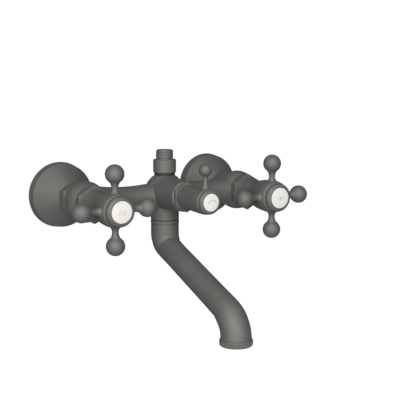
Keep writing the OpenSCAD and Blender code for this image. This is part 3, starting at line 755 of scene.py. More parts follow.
@cache
def stroke_tree() -> bpy.types.NodeTree:
    """Builds the tree that lays a round strip along each line of edges.

    Returns:
        The tree, with inputs Radius and Material.
    """
    tree = MeshTree("stroke", ("Radius",))
    (radius,) = tree.sizes
    lines = tree.signal("MeshToCurve", {}, {0: tree.mesh})
    ring = tree.signal("CurvePrimitiveCircle", {}, {"Resolution": 24, "Radius": radius})
    return tree.close(tree.signal("CurveToMesh", {}, {"Curve": lines, "Profile Curve": ring,
                                                      "Fill Caps": True}))


@dataclass(frozen=True)
class Extent:
    """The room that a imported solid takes, in millimetres."""

    low: Vector
    high: Vector

    @classmethod
    def of(cls, node: str) -> "Extent":
        """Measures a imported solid."""
        low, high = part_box(node)
        return cls(low / MM, high / MM)

    @property
    def x(self) -> float:
        """Gives the middle across the wall."""
        return (self.low.x + self.high.x) / 2

    @property
    def z(self) -> float:
        """Gives the middle height."""
        return (self.low.z + self.high.z) / 2

    @property
    def radius(self) -> float:
        """Gives half of the width."""
        return (self.high.x - self.low.x) / 2

    @property
    def back(self) -> float:
        """Gives the rear face's distance from the wall."""
        return -self.high.y

    @property
    def front(self) -> float:
        """Gives the front face's distance from the wall."""
        return -self.low.y

    @property
    def axis_out(self) -> float:
        """Gives an upright axis's distance from the wall."""
        return (self.back + self.front) / 2


@dataclass(frozen=True)
class BalledArm:
    """A waisted arm that ends in a ball. Distances along it are from the handle's axis."""

    foot_r: float
    waist: float
    waist_r: float
    crease_r: float
    swell: float = 0.55
    sides: int = 72
    ball_steps: int = 40

    def mesh(self, foot: float, middle: float, ball_r: float) -> bpy.types.Mesh:
        """Turns the arm round its own axis, its ball starting a degree past the crease.

        Args:
            foot: Distance of its foot, hidden in the hub.
            middle: Distance of the ball's middle.
            ball_r: The ball's radius.

        Returns:
            The mesh.
        """
        crease = middle - math.sqrt(ball_r ** 2 - self.crease_r ** 2)
        start = 1 - math.degrees(math.acos(self.crease_r / ball_r))
        swell = self.waist + (crease - self.waist) * self.swell
        outline = Outline(0, foot).line((self.foot_r, foot))
        outline.curve((self.waist_r, (foot + self.waist) / 2), (self.waist_r, self.waist))
        outline.curve((self.waist_r, swell), (self.crease_r, crease))
        outline.arc((0, middle), ball_r, start, 90, self.ball_steps)
        return turned_mesh("arm", outline, around=self.sides)


@dataclass(frozen=True)
class HubBore:
    """The inside of a handle's hub: a skirt over the sleeve, a spline, a screw hole and the cap's well."""

    spline_r: float = 4.02
    screw_r: float = 2.5
    screw_seat: float = 0.7
    skirt_wall: float = 1.5
    skirt_depth: float = 1.3
    well_wall: float = 2.4

    def start(self, hub: Extent, plane: float, well: float, cap_r: float, land: float) -> Outline:
        """Draws the inside from the spline's rear end to the front.

        Args:
            hub: The hub's extent.
            plane: Distance of the arms' axes from the wall.
            well: Distance of the well's floor.
            cap_r: The cap's radius.
            land: How far inside the cap's edge the hub's front face ends.

        Returns:
            The outline so far.
        """
        seat, well_r = plane - self.screw_seat, cap_r - self.well_wall
        return Outline(self.spline_r, hub.back + self.skirt_depth).line(
            (self.spline_r, seat), (self.screw_r, seat), (self.screw_r, well), (well_r, well),
            (well_r, hub.front), (cap_r - land, hub.front))

    def close(self, outline: Outline, hub: Extent, sleeve_r: float) -> Outline:
        """Ends the outline inside the skirt, whose rear edge is as wide as the sleeve."""
        bore = sleeve_r - self.skirt_wall
        return outline.line((bore, hub.back, 0.1), (bore, hub.back + self.skirt_depth))


@dataclass
class IndexCap:
    """A handle's screwed cap, the domed porcelain disc in it and the sign on that."""

    prefix: str
    body: str
    place: Matrix
    seat_depth: float
    hole_r: float
    stroke_r: float = 0.48
    sides: int = ROUND
    hub_gap: float = 0.1
    thread_step: float = 2.45
    thread_len: float = 1.9
    rim_edge: float = 0.5
    rim_height: float = 1.7
    lip: float = 0.8
    disc_fit: float = 0.08
    disc_edge: float = 0.8
    dome: float = 0.45
    sign_height: float = 0.06

    def __post_init__(self) -> None:
        """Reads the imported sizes."""
        self.ring = Extent.of(f"{self.prefix}_index_cap")
        self.disc = Extent.of(f"{self.prefix}_index_disc")

    def cap_outline(self, back: float) -> Outline:
        """Draws the cap.

        Args:
            back: Where its rim meets the hub.

        Returns:
            The closed outline.
        """
        front, r, seat_r = self.ring.front, self.ring.radius, self.disc.radius + self.disc_fit
        thread_r, thread_end, seat = r - self.thread_step, back - self.thread_len, front - self.seat_depth
        outline = Outline(self.hole_r, thread_end).line(
            (thread_r, thread_end, 0.2), (thread_r, back), (r - self.rim_edge, back, 0.1),
            (r, back + self.rim_edge, 0.15), (r, back + self.rim_height))
        outline.curve((r - 0.15, front - 0.5), (seat_r + self.lip, front))
        return outline.line((seat_r, front, 0.12), (seat_r, seat), (self.hole_r, seat))

    def disc_outline(self) -> Outline:
        """Draws the disc, gently domed in front.

        Returns:
            The outline.
        """
        back, front, r = self.disc.back, self.disc.front, self.disc.radius
        outline = Outline(0, back).line((r, back, 0.1), (r, front - self.disc_edge, 0.25))
        outline.line((r - 0.15, front - self.dome))
        return outline.curve((r / 2, front), (0, front), 18)

    def sign_mesh(self, strokes: Sequence[Sequence[Point]]) -> bpy.types.Mesh:
        """Lays round strokes on the disc, sunk so that only a little of them stands out.

        Args:
            strokes: Lines of points across the disc, from its middle.

        Returns:
            The mesh.
        """
        vertices, edges = [], []
        for stroke in strokes:
            edges += [(i, i + 1) for i in range(len(vertices), len(vertices) + len(stroke) - 1)]
            for x, y in stroke:
                drop = self.dome * (x * x + y * y) / self.disc.radius ** 2
                height = self.disc.front - drop - (self.stroke_r - self.sign_height)
                vertices.append(Vector((x, y, height)) * MM)
        mesh = bpy.data.meshes.new("sign")
        mesh.from_pydata(vertices, edges, [])
        return run_modifier(mesh, stroke_tree(), MARKING, Radius=self.stroke_r * MM)

    def build(self, workshop: Workshop, hub: Extent, strokes: Sequence[Sequence[Point]]) -> None:
        """Builds and dresses the cap, the disc and the sign.

        Args:
            workshop: Finishes the pieces.
            hub: The hub that the cap is screwed into.
            strokes: The sign's lines.
        """
        name = self.prefix
        cap = turned_mesh("cap", self.cap_outline(hub.front + self.hub_gap), closed=True, around=self.sides)
        workshop.piece(f"{name}_cap_turned", cap, self.place, self.body, GUNMETAL, [f"{name}_index_cap"])
        disc = turned_mesh("disc", self.disc_outline())
        workshop.piece(f"{name}_disc_glazed", disc, self.place, self.body, PORCELAIN, [f"{name}_index_disc"])
        workshop.piece(f"{name}_mark", self.sign_mesh(strokes), self.place, self.body, MARKING)


@dataclass
class WallFitting:
    """One inlet's fitting: threaded connector, bell-shaped flange and union nut."""

    side: Side
    rim: float = 8.0
    rim_fall: float = 1.0
    rim_edge: float = 0.5
    wall: float = 1.6
    neck: float = 2.1
    neck_land: float = 1.0
    grip: float = 6.0
    fit: float = 0.1
    lead_in: float = 1.2
    shoulder: float = 0.35
    shoulder_start: float = 1.0
    shoulder_stop: float = 7.0
    seat_depth: float = 7.0
    seat_wall: float = 2.8
    connector_wall: float = 4.0
    thread_rows: int = 180
    thread_start: float = 0.2
    thread_end: float = 0.6
    thread_pitch: float = 1.814
    thread_depth: float = 1.16
    nut_lip: float = 1.5
    nut_step: float = 1.6

    def __post_init__(self) -> None:
        """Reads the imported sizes."""
        self.flange = Extent.of(f"{self.side.value}_wall_flange")
        self.connector = Extent.of(f"{self.side.value}_wall_connector")
        self.nut = Extent.of(f"{self.side.value}_union_nut")
        self.place = out_of_wall(self.flange.x)
        self.thread_r = self.connector.radius - self.shoulder
        self.bore = self.thread_r + self.fit

    def flange_outline(self) -> Outline:
        """Draws the flange: a cone behind a broad rim.

        Returns:
            The closed outline.
        """
        depth, rim_r, neck_r = self.flange.front, self.flange.radius, self.thread_r + self.neck
        inner_r, grip = rim_r - self.rim_fall - self.wall, depth - self.grip
        outline = Outline(self.bore, depth).line((self.bore, grip), (neck_r + 0.2, grip - self.wall))
        outline.line((inner_r, self.rim - self.rim_fall), (inner_r, 0), (rim_r, 0, 0.2))
        outline.line((rim_r - self.rim_fall, self.rim, self.rim_edge))
        return outline.line((neck_r, depth - self.neck_land, 0.3), (neck_r, depth, 0.3))

    def connector_outline(self) -> Outline:
        """Draws the connector, with rows close enough for its thread.

        Returns:
            The closed outline.
        """
        r, back, front = self.thread_r, self.connector.back, self.connector.front
        start, stop = self.shoulder_start, self.flange.front - self.shoulder_stop
        inner_r, seat_r, seat = r - self.connector_wall, r - self.seat_wall, front - self.seat_depth
        outline = Outline(inner_r, back).line((r - self.lead_in, back, 0.1), (r, back + self.lead_in))
        outline.rows((r, start - 0.1), self.thread_rows).line((r, start), (r + self.shoulder, start))
        outline.line((r + self.shoulder, stop), (r, stop), (r, front, 0.2), (seat_r, front))
        return outline.line((seat_r, seat), (inner_r, seat))

    def nut_mesh(self) -> bpy.types.Mesh:
        """Builds the union nut, with the lip that holds the tail.

        Returns:
            The mesh.
        """
        bore, lip_r, lip = self.bore, self.thread_r - self.nut_step, self.nut.front - self.nut_lip
        nut = Hexagon(self.nut.high.x - self.nut.low.x, self.nut.back, self.nut.front, chamfer_back=True)
        before = [(lip_r, lip), (bore, lip), (bore, nut.back)]
        return nut.mesh("nut", before, [(lip_r + nut.soft, nut.front), (lip_r, nut.front - nut.soft)])

    def build(self, workshop: Workshop) -> None:
        """Builds and dresses the fitting.

        Args:
            workshop: Finishes the pieces.
        """
        side = self.side.value
        flange = turned_mesh("flange", self.flange_outline(), closed=True, around=FINE_ROUND)
        workshop.piece(f"{side}_flange_shell", flange, self.place, "mixer", GUNMETAL, [f"{side}_wall_flange"])
        threaded = run_modifier(
            turned_mesh("connector", self.connector_outline(), closed=True), thread_tree(), BRASS,
            Pitch=self.thread_pitch * MM, Depth=self.thread_depth * MM, Outside=self.thread_r * MM,
            From=(self.connector.back + self.thread_start) * MM, To=self.thread_end * MM)
        workshop.piece(f"{side}_connector_thread", threaded, self.place, "mixer", BRASS,
                       [f"{side}_wall_connector"])
        workshop.piece(f"{side}_union_nut_turned", self.nut_mesh(), self.place, "mixer", GUNMETAL,
                       [f"{side}_union_nut"])


@dataclass
class Bonnet:
    """A hexagon collar and tapered sleeve in one piece, screwed into the body.

    The sizes given here are the side valves'. The sleeve leaves its root towards a point at `bend_r`, `bend`
    further out.
    """

    node: str
    hex_back: float = 69
    hex_front: float = 72
    across: float = 28
    root_r: float = 12.7
    tip_r: float = 10
    bend_r: float = 10.5
    bend: float = 7
    thread_r: float = 12
    wall: float = 1.5
    edge: float = 0.3

    def build(self, workshop: Workshop) -> None:
        """Builds and dresses the bonnet.

        Args:
            workshop: Finishes the piece.
        """
        extent = Extent.of(self.node)
        bore = self.tip_r - self.wall
        sleeve = Outline(self.root_r, self.hex_front)
        sleeve.curve((self.bend_r, self.hex_front + self.bend), (self.tip_r, extent.front), 30, self.edge)
        sleeve.line((bore, extent.front))
        before = [(bore, extent.back), (self.thread_r, extent.back), (self.thread_r, self.hex_back)]
        collar = Hexagon(self.across, self.hex_back, self.hex_front)
        mesh = collar.mesh("bonnet", before, sleeve.points(closed=False))
        workshop.piece(f"{self.node}_turned", mesh, out_of_wall(extent.x, extent.z), "mixer", GUNMETAL,
                       [self.node])


@dataclass
class CrossHandle:
    """A hub with four balled arms, a cap and a porcelain index disc."""

    side: Side
    plane_from_back: float = 19.2
    sleeve_r: float = 10.45
    bore: HubBore = HubBore()
    well: float = 4.0
    bead: float = 0.7
    arm: BalledArm = BalledArm(foot_r=4.9, waist=17.0, waist_r=2.65, crease_r=4.2)
    arm_sunk: float = 1.4
    ball_r: float = 7.65
    arms: int = 4
    warmth_pitch: float = 2.3
    warmth_sway: float = 0.42
    frost_reach: float = 2.2
    sign_middle: Point = (0.3, -0.4)

    def __post_init__(self) -> None:
        """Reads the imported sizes."""
        side = self.side.value
        self.body = f"{side}_handle"
        self.hub = Extent.of(f"{side}_handle_hub")
        self.reach = Extent.of(f"{side}_handle_arms").radius
        self.place = out_of_wall(self.hub.x)
        self.plane = self.hub.back + self.plane_from_back
        self.cap = IndexCap(side, self.body, self.place, seat_depth=2.4, hole_r=4.6, sides=FINE_ROUND)

    def hub_outline(self) -> Outline:
        """Draws the hub, walked from its bore over the front to its rear face.

        Returns:
            The closed outline.
        """
        r, plane, back, front = self.hub.radius, self.plane, self.hub.back, self.hub.front
        bead_r = r - self.bead
        outline = self.bore.start(self.hub, plane, plane + self.well, self.cap.ring.radius, land=0.9)
        outline.curve((bead_r - 0.2, front), (bead_r - 0.1, plane + 5.6), 8).line((bead_r, plane + 5.4))
        outline.curve((r - 0.2, plane + 4), (r - 0.05, plane + 1.5), 8).line((r, plane + 1))
        outline.curve((r + 0.1, plane - 4), (r - 0.6, plane - 10), 16).line((r - 0.7, plane - 10.5))
        outline.curve((r - 1.5, back + 0.9), (self.sleeve_r, back), 24)
        return self.bore.close(outline, self.hub, self.sleeve_r)

    def sign(self) -> list[list[Point]]:
        """Draws a generic sign: rising warmth on the hot side, a frost star on the cold.

        Returns:
            Its strokes.
        """
        dx, dy = self.sign_middle
        if self.side is Side.HOT:
            pitch, sway, half_wave = self.warmth_pitch, self.warmth_sway, 1.8
            half, per_mm = 12, 6.6
            rise = [(i - half) / per_mm for i in range(2 * half + 1)]
            return [[(dx + column + sway * math.sin(y * math.pi / half_wave), dy + y) for y in rise]
                    for column in (-pitch, 0.0, pitch)]
        turns = [math.radians(degrees) for degrees in (30, 90, 150)]
        rays = [(self.frost_reach * math.cos(turn), self.frost_reach * math.sin(turn)) for turn in turns]
        return [[(dx - x, dy - y), (dx + x, dy + y)] for x, y in rays]

    def build(self, workshop: Workshop) -> None:
        """Builds and dresses the handle.

        Args:
            workshop: Finishes the pieces.
        """
        side = self.side.value
        hub = turned_mesh("hub", self.hub_outline(), closed=True, around=FINE_ROUND)
        workshop.piece(f"{side}_hub_turned", hub, self.place, self.body, GUNMETAL, [f"{side}_handle_hub"])
        arm = self.arm.mesh(self.hub.radius - self.arm_sunk, self.reach - self.ball_r, self.ball_r)
        arm.transform(Matrix.Translation((0, 0, self.plane * MM)) @ Matrix.Rotation(math.pi / 2, 4, "Y"))
        cross = run_modifier(arm, spokes_tree(), GUNMETAL, Count=self.arms)
        workshop.piece(f"{side}_arms_turned", cross, self.place, self.body, GUNMETAL, [f"{side}_handle_arms"])
        self.cap.build(workshop, self.hub, self.sign())


@dataclass
class DiverterHandle:
    """The small lever in the middle, with its own cap and index disc."""

    body: str = "diverter_handle"
    plane_from_back: float = 15.2
    sleeve_r: float = 10.25
    bore: HubBore = HubBore()
    well: float = 2.4
    arm: BalledArm = BalledArm(foot_r=3.8, waist=17.5, waist_r=1.85, crease_r=2.1)
    arm_sunk: float = 1.2
    arch_r: float = 3.7
    arch_half: float = 79.0
    arch_middle: Point = (0.9, -1.7)

    def __post_init__(self) -> None:
        """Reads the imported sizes."""
        self.hub = Extent.of("diverter_hub")
        self.lever = Extent.of("diverter_lever")
        self.axis_z = Extent.of("diverter_index_disc").z
        self.place = out_of_wall(0, self.axis_z)
        self.plane = self.hub.back + self.plane_from_back
        self.cap = IndexCap("diverter", self.body, self.place, seat_depth=2.0, hole_r=4.4, stroke_r=0.8)

    def hub_outline(self) -> Outline:
        """Draws the hub, walked from its bore over the front to its rear face.

        Returns:
            The closed outline.
        """
        r, plane, back = self.hub.radius, self.plane, self.hub.back
        outline = self.bore.start(self.hub, plane, plane + self.well, self.cap.ring.radius, land=0.8)
        outline.curve((r - 0.5, self.hub.front), (r - 0.4, plane + 3.7), 8).line((r - 0.3, plane + 3.4))
        outline.curve((r + 0.1, plane), (r - 0.1, plane - 3.5), 16).line((r - 0.2, plane - 4))
        outline.curve((r - 0.5, back + 1.5), (self.sleeve_r, back), 24)
        return self.bore.close(outline, self.hub, self.sleeve_r)

    def sign(self) -> list[list[Point]]:
        """Draws a plain arch, the diverter's two ways.

        Returns:
            Its stroke.
        """
        (x, y), half, steps = self.arch_middle, self.arch_half, 16
        turns = [math.radians(90 - half + half * i / steps) for i in range(2 * steps + 1)]
        return [[(x + self.arch_r * math.cos(turn), y + self.arch_r * math.sin(turn)) for turn in turns]]

    def build(self, workshop: Workshop) -> None:
        """Builds and dresses the handle.

        Args:
            workshop: Finishes the pieces.
        """
        hub = turned_mesh("hub", self.hub_outline(), closed=True)
        workshop.piece("diverter_hub_turned", hub, self.place, self.body, GUNMETAL, ["diverter_hub"])
        ball_r = self.lever.radius
        middle = self.lever.high.z - self.axis_z - ball_r
        arm = self.arm.mesh(self.hub.radius - self.arm_sunk, middle, ball_r)
        arm.transform(Matrix.Translation((0, 0, self.plane * MM)) @ Matrix.Rotation(-math.pi / 2, 4, "X"))
        workshop.piece("diverter_lever_turned", arm, self.place, self.body, GUNMETAL, ["diverter_lever"])
        self.cap.build(workshop, self.hub, self.sign())


@dataclass
class ShowerOutlet:
    """The collar on top of the body with its hose thread."""

    bore: float = 4.5
    tail_r: float = 7.2
    tail: float = 4.6
    neck_r: float = 7.4
    neck: float = 1.5
    collar_r: float = 9.9
    collar_h: float = 11.8
    foot_edge: float = 1.0
    crown_edge: float = 0.5
    thread_r: float = 7.5
    groove: float = 1.0
    groove_depth: float = 0.6
    lead_in: float = 0.4
    tip: float = 1.2
    tip_fall: float = 1.0
    thread_rows: int = 84
    thread_end: float = 0.3
    thread_pitch: float = 1.8
    thread_depth: float = 0.3

    def build(self, workshop: Workshop) -> None:
        """Builds and dresses the outlet.

        Args:
            workshop: Finishes the piece.
        """
        extent = Extent.of("shower_outlet")
        low, top, r, groove_r = extent.low.z, extent.high.z, self.collar_r, self.thread_r - self.groove_depth
        seat = low + self.tail
        base = seat + self.neck
        crown = base + self.collar_h
        groove = crown + self.groove
        outline = Outline(self.bore, low).line(
            (self.tail_r, low, 0.2), (self.tail_r, seat), (self.neck_r, seat), (self.neck_r, base),
            (r - self.foot_edge, base, 0.1), (r, base + self.foot_edge, 0.15),
            (r, crown - self.crown_edge, 0.15), (r - self.crown_edge, crown, 0.1),
            (groove_r, crown), (groove_r, groove), (self.thread_r, groove + self.lead_in))
        outline.rows((self.thread_r, top - self.tip), self.thread_rows)
        outline.line((self.thread_r - self.tip_fall, top, 0.2), (self.bore, top, 0.15))
        threaded = run_modifier(
            turned_mesh("outlet", outline, closed=True), thread_tree(), GUNMETAL,
            Pitch=self.thread_pitch * MM, Depth=self.thread_depth * MM, Outside=self.thread_r * MM,
            From=(groove + self.lead_in) * MM, To=(top - self.thread_end) * MM)
        workshop.piece("shower_outlet_thread", threaded, upright(extent.axis_out), "mixer", GUNMETAL,
                       ["shower_outlet"])


@dataclass
class BarrelShoulder:
    """The smooth swell with which the middle casting runs out into the diverter's barrel.

    Each station holds a distance from the wall and the swell's half-width and half-height there.
    """

    stations: tuple[tuple[float, float, float], ...] = (
        (50, 16.0, 15.5), (54, 16.8, 16.2), (60, 16.6, 15.4), (66, 15.9, 14.1), (72, 15.0, 13.5),
        (78, 14.1, 13.2), (84, 13.3, 13.05), (87.9, 12.95, 12.95), (88.6, 12.5, 12.5))
    rows: int = 48

    def build(self, workshop: Workshop) -> None:
        """Builds and dresses the swell.

        Args:
            workshop: Finishes the piece.
        """
        axis = Extent.of("diverter_index_disc")
        outs, wides, highs = (np.array(column) for column in zip(*self.stations))
        along = np.linspace(outs[0], outs[-1], self.rows)
        angles = np.linspace(0, math.tau, ROUND, endpoint=False)
        rings = [[(np.interp(out, outs, wides) * math.cos(a), np.interp(out, outs, highs) * math.sin(a), out)
                  for a in angles] for out in along]
        mesh = grid_mesh("shoulder", np.array(rings), closed=False)
        workshop.piece("barrel_shoulder", mesh, out_of_wall(0, axis.z), "mixer", GUNMETAL)


@dataclass
class Aerator:
    """The knurled ring screwed into the spout's end, at the height `top`.

    Between a band of height `foot` and one of height `collar` it is cut in by `depth`, where the ribs stand.
    """

    body: str
    bore: float
    top: float
    rise: float = 1.35
    lip: float = 0.6
    lip_height: float = 0.4
    thread: float = 1.2
    foot: float = 1.05
    collar: float = 1.35
    depth: float = 0.6
    ribs: int = 44
    rib_w: float = 1.1
    rib_sunk: float = 0.1
    sides: int = 144

    def __post_init__(self) -> None:
        """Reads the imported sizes."""
        self.extent = Extent.of("aerator_housing")
        self.low = self.extent.low.z + self.rise

    def outline(self) -> Outline:
        """Draws the ring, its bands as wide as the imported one.

        Returns:
            The closed outline.
        """
        r, low, top, thread_top = self.extent.radius, self.low, self.top, self.extent.high.z
        root, lip_r, thread_r = r - self.depth, self.bore - self.lip, self.bore + self.thread
        return Outline(lip_r, low).line(
            (r - 0.9, low, 0.2), (r - 0.05, low + 0.8, 0.15), (root, low + self.foot, 0.1),
            (root, top - self.collar, 0.1), (r - 0.05, top - 1.1, 0.15), (r - 0.4, top - 0.4, 0.15),
            (r - 1, top, 0.15), (thread_r, top), (thread_r, thread_top, 0.2), (self.bore, thread_top),
            (self.bore, low + self.lip_height), (lip_r, low + self.lip_height))

    def build(self, workshop: Workshop) -> None:
        """Builds and dresses the ring.

        Args:
            workshop: Finishes the piece.
        """
        low, top = self.low + self.foot - self.rib_sunk, self.top - self.collar + self.rib_sunk
        ring = turned_mesh("aerator", self.outline(), closed=True, around=self.sides)
        knurled = run_modifier(
            ring, knurl_tree(), GUNMETAL, Count=self.ribs, Width=self.rib_w * MM,
            Radius=(self.extent.radius - self.rib_w / 2) * MM, Height=(top - low) * MM,
            Middle=(low + top) / 2 * MM)
        workshop.piece("aerator_knurled", knurled, upright(self.extent.axis_out), self.body, GUNMETAL,
                       ["aerator_housing"])


@dataclass
class Spout:
    """The swivelling spout: its tail with a turned ring, the bent tube and, at its end, the aerator.

    Each of `tip_bends` holds a radius and its degrees, and each of `radii` a station and the tube's radius.
    """

    body: str = "spout"
    bore: float = 9.0
    tail_bore: float = 6.6
    tail_r: float = 9.0
    ring_h: float = 3.2
    ring_edges: Point = (0.5, 0.4)
    spigot: float = 6.0
    spigot_fit: float = 0.02
    top_bend: float = -32.5
    top_bend_r: float = 13.8
    tip_bends: tuple[Point, ...] = ((35.0, 24.35), (20.4, 45.0))
    slope: float = 20.65
    radii: tuple[Point, ...] = (
        (0, 12.05), (1, 12.15), (1.5, 11.85), (2, 10.85), (2.15, 10.66), (2.5, 10.75), (2.85, 10.85),
        (3, 11.0), (3.5, 12.0), (4, 12.3))
    rows: int = 240
    sides: int = 112
    mouth: float = 1.3
    mouth_rows: int = 5

    def __post_init__(self) -> None:
        """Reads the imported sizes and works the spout's path out from them."""
        self.tube = Extent.of("spout_tube")
        self.tail = Extent.of("spout_tail")
        self.axis_out = self.tail.axis_out
        reach = Extent.of("aerator_housing").axis_out - self.axis_out
        self.turn, angle = math.radians(90 - self.slope), math.radians(self.slope)
        out, drop = self.top_bend_r * (1 - math.cos(self.turn)), self.top_bend_r * math.sin(self.turn)
        for radius, degrees in self.tip_bends:
            after = angle + math.radians(degrees)
            out += radius * (math.sin(after) - math.sin(angle))
            drop += radius * (math.cos(angle) - math.cos(after))
            angle = after
        run = (reach - out) / math.sin(self.turn)
        self.end_z = self.top_bend - drop - run * math.cos(self.turn)
        self.bends = [(self.top_bend, self.top_bend_r, self.turn, 1.0)]
        self.tip_bend = self.path_end = self.top_bend - self.top_bend_r * self.turn - run
        for radius, degrees in self.tip_bends:
            self.bends.append((self.path_end, radius, math.radians(degrees), -1.0))
            self.path_end -= radius * math.radians(degrees)

    def radius(self, z: float) -> float:
        """Gives the tube's outer radius on its path, laid out straight.

        Whole stations are the tube's top, the two ends of the upper bend and those of the lower one.

        Args:
            z: Height on the straight path.

        Returns:
            The radius.
        """
        ends = [self.tube.high.z, self.top_bend, self.top_bend - self.top_bend_r * self.turn, self.tip_bend,
                self.path_end]
        station = float(np.interp(-z, [-end for end in ends], range(5)))
        whole, radii = zip(*self.radii)
        i = max(k for k in range(len(whole) - 1) if whole[k] <= station)
        part = (station - whole[i]) / (whole[i + 1] - whole[i])
        return radii[i] + (radii[i + 1] - radii[i]) * part * part * (3 - 2 * part)

    def tube_mesh(self) -> bpy.types.Mesh:
        """Lays the tube out straight, then bends it, the farthest bend first.

        Returns:
            The mesh.
        """
        top, end = self.tube.high.z, self.path_end
        heights = [top + (end - top) * i / self.rows for i in range(self.rows + 1)]
        outline = Outline(self.bore, top).line((self.radius(top), top, 0.2))
        outline.line(*[(self.radius(z), z) for z in heights[1:-1]])
        outline.line((self.radius(end), end, 0.3), (self.bore + self.mouth, end))
        outline.line(*[(self.bore, z) for z in reversed(heights[1:-self.mouth_rows])])
        mesh = turned_mesh("tube", outline, closed=True, around=self.sides)
        for start, radius, turn, way in reversed(self.bends):
            mesh = run_modifier(mesh, bend_tree(), GUNMETAL, Start=start * MM, Radius=radius * MM, Turn=turn,
                                Way=way)
        return mesh

    def tail_outline(self) -> Outline:
        """Draws the tail, its turned ring and the spigot inside the tube.

        Returns:
            The closed outline.
        """
        r, low, top = self.tail.radius, self.tube.high.z, self.tail.high.z
        spigot_r, ring_top, end = self.bore - self.spigot_fit, low + self.ring_h, low - self.spigot
        low_edge, top_edge = self.ring_edges
        return Outline(self.tail_bore, top).line(
            (self.tail_r, top, 0.3), (self.tail_r, ring_top), (r - top_edge, ring_top, 0.15),
            (r, ring_top - top_edge, 0.15), (r, low + low_edge, 0.15), (r - low_edge, low, 0.15),
            (spigot_r, low), (spigot_r, end), (self.tail_bore, end))

    def build(self, workshop: Workshop) -> None:
        """Builds and dresses the spout.

        Args:
            workshop: Finishes the pieces.
        """
        place = upright(self.axis_out)
        workshop.piece("spout_tube_swept", self.tube_mesh(), place, self.body, GUNMETAL, ["spout_tube"])
        tail = turned_mesh("tail", self.tail_outline(), closed=True)
        workshop.piece("spout_ring_turned", tail, place, self.body, GUNMETAL, ["spout_tail"])
        Aerator(self.body, self.bore, self.end_z).build(workshop)


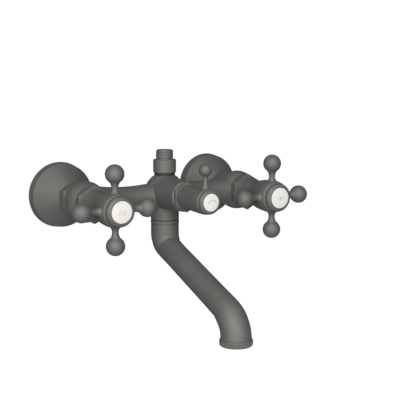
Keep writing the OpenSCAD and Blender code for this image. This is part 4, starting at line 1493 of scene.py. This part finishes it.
@dataclass
class Studio:
    """Pale floor, soft light and the photograph's camera. Lengths are in metres.

    Each of `lights` holds its degrees to the left of straight ahead, its degrees up and its power in watts.
    """

    camera_place: tuple[float, float, float] = (-0.4058, -0.7709, 0.1145)
    yaw: float = 31.635
    pitch: float = -8.195
    lens: float = 86.4
    sensor: float = 36.0
    clip: Point = (0.01, 20.0)
    floor_z: float = -0.9
    floor_size: float = 1.2
    floor_tint: Colour = (0.8, 0.8, 0.8)
    floor_roughness: float = 0.9
    light_size: float = 1.1
    light_distance: float = 1.8
    light_target: tuple[float, float, float] = (0, -0.08, -0.03)
    light_tint: Colour = (1.0, 0.99, 0.965)
    shade_tint: Colour = (0.97, 0.985, 1.0)
    ambient: float = 0.105
    backdrop: float = 1.05
    lights: tuple[tuple[float, float, float], ...] = (
        (5, 8, 6.6), (32, 8, 12.3), (60, 8, 7.8), (32, 38, 19.8))

    def build(self) -> None:
        """Builds the studio."""
        self.world()
        self.floor()
        for azimuth, height, power in self.lights:
            self.soft_light(azimuth, height, power)
        self.camera()

    def camera(self) -> None:
        """Sets the camera at the photograph's place."""
        data = bpy.data.cameras.new("photo_camera")
        data.lens, data.sensor_width = self.lens, self.sensor
        data.clip_start, data.clip_end = self.clip
        camera = bpy.data.objects.new("photo_camera", data)
        camera.location = self.camera_place
        camera.rotation_euler = (math.radians(90 + self.pitch), 0, -math.radians(self.yaw))
        bpy.context.scene.collection.objects.link(camera)
        bpy.context.scene.camera = camera

    def world(self) -> None:
        """Makes the backdrop white and its light on the object dim and even."""
        world = bpy.data.worlds.new("studio")
        world.use_nodes = True
        graph = Graph(world.node_tree)
        seen = graph.signal("LightPath", output="Is Camera Ray")
        graph.fill(world.node_tree.nodes["Background"], {
            "Strength": seen * (self.backdrop - self.ambient) + self.ambient, "Color": (*self.shade_tint, 1)})
        bpy.context.scene.world = world
        bpy.context.scene.view_settings.view_transform = "Standard"

    def floor(self) -> None:
        """Lays a plain pale floor far below the object."""
        half = self.floor_size / 2
        mesh = bpy.data.meshes.new("studio_floor")
        corners = [(-half, -half), (half, -half), (half, half), (-half, half)]
        mesh.from_pydata([(x, y, self.floor_z) for x, y in corners], [], [(0, 1, 2, 3)])
        material = bpy.data.materials.new("studio_floor")
        material.use_nodes = True
        shader = material.node_tree.nodes["Principled BSDF"]
        Graph(material.node_tree).fill(shader, {"Base Color": (*self.floor_tint, 1),
                                                "Roughness": self.floor_roughness})
        mesh.materials.append(material)
        thing = bpy.data.objects.new("studio_floor", mesh)
        bpy.context.scene.collection.objects.link(thing)

    def soft_light(self, azimuth: float, height: float, power: float) -> None:
        """Hangs one large soft light that faces the object.

        Args:
            azimuth: Degrees to the left of straight ahead.
            height: Degrees above the object.
            power: Its power, in watts.
        """
        data = bpy.data.lights.new("soft_light", "AREA")
        data.shape, data.size, data.energy = "DISK", self.light_size, power
        data.color = self.light_tint
        light = bpy.data.objects.new("soft_light", data)
        side, tilt = -math.radians(azimuth), math.radians(90 - height)
        aim = Matrix.Rotation(side, 4, "Z") @ Matrix.Rotation(tilt, 4, "X")
        back = Matrix.Translation((0, 0, self.light_distance))
        light.matrix_world = Matrix.Translation(self.light_target) @ aim @ back
        bpy.context.scene.collection.objects.link(light)


def bonnets() -> list[Bonnet]:
    """Lists the bonnets: one on each side valve and one on the diverter."""
    diverter = Bonnet("diverter_bonnet", hex_back=89.5, hex_front=92.1, across=22.5, root_r=10.3, tip_r=9.7,
                      bend_r=10.3, bend=5, thread_r=10.6)
    return [*(Bonnet(f"{side.value}_bonnet") for side in Side), diverter]


def main() -> None:
    """Builds every piece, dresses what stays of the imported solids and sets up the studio."""
    logging.basicConfig(level=logging.INFO, format="%(name)s: %(message)s")
    workshop = Workshop()
    for side in Side:
        WallFitting(side).build(workshop)
        CrossHandle(side).build(workshop)
    for bonnet in bonnets():
        bonnet.build(workshop)
    BarrelShoulder().build(workshop)
    DiverterHandle().build(workshop)
    ShowerOutlet().build(workshop)
    Spout().build(workshop)
    for subpart in frame["record"]["subparts"]:
        workshop.dress(subpart["node"], FINISH_OF_SLOT[subpart["material_slot"]])
    Studio().build()
    log.info("%d pieces made, %d solids dressed", workshop.made, workshop.dressed)


if __name__ == "__main__":
    main()
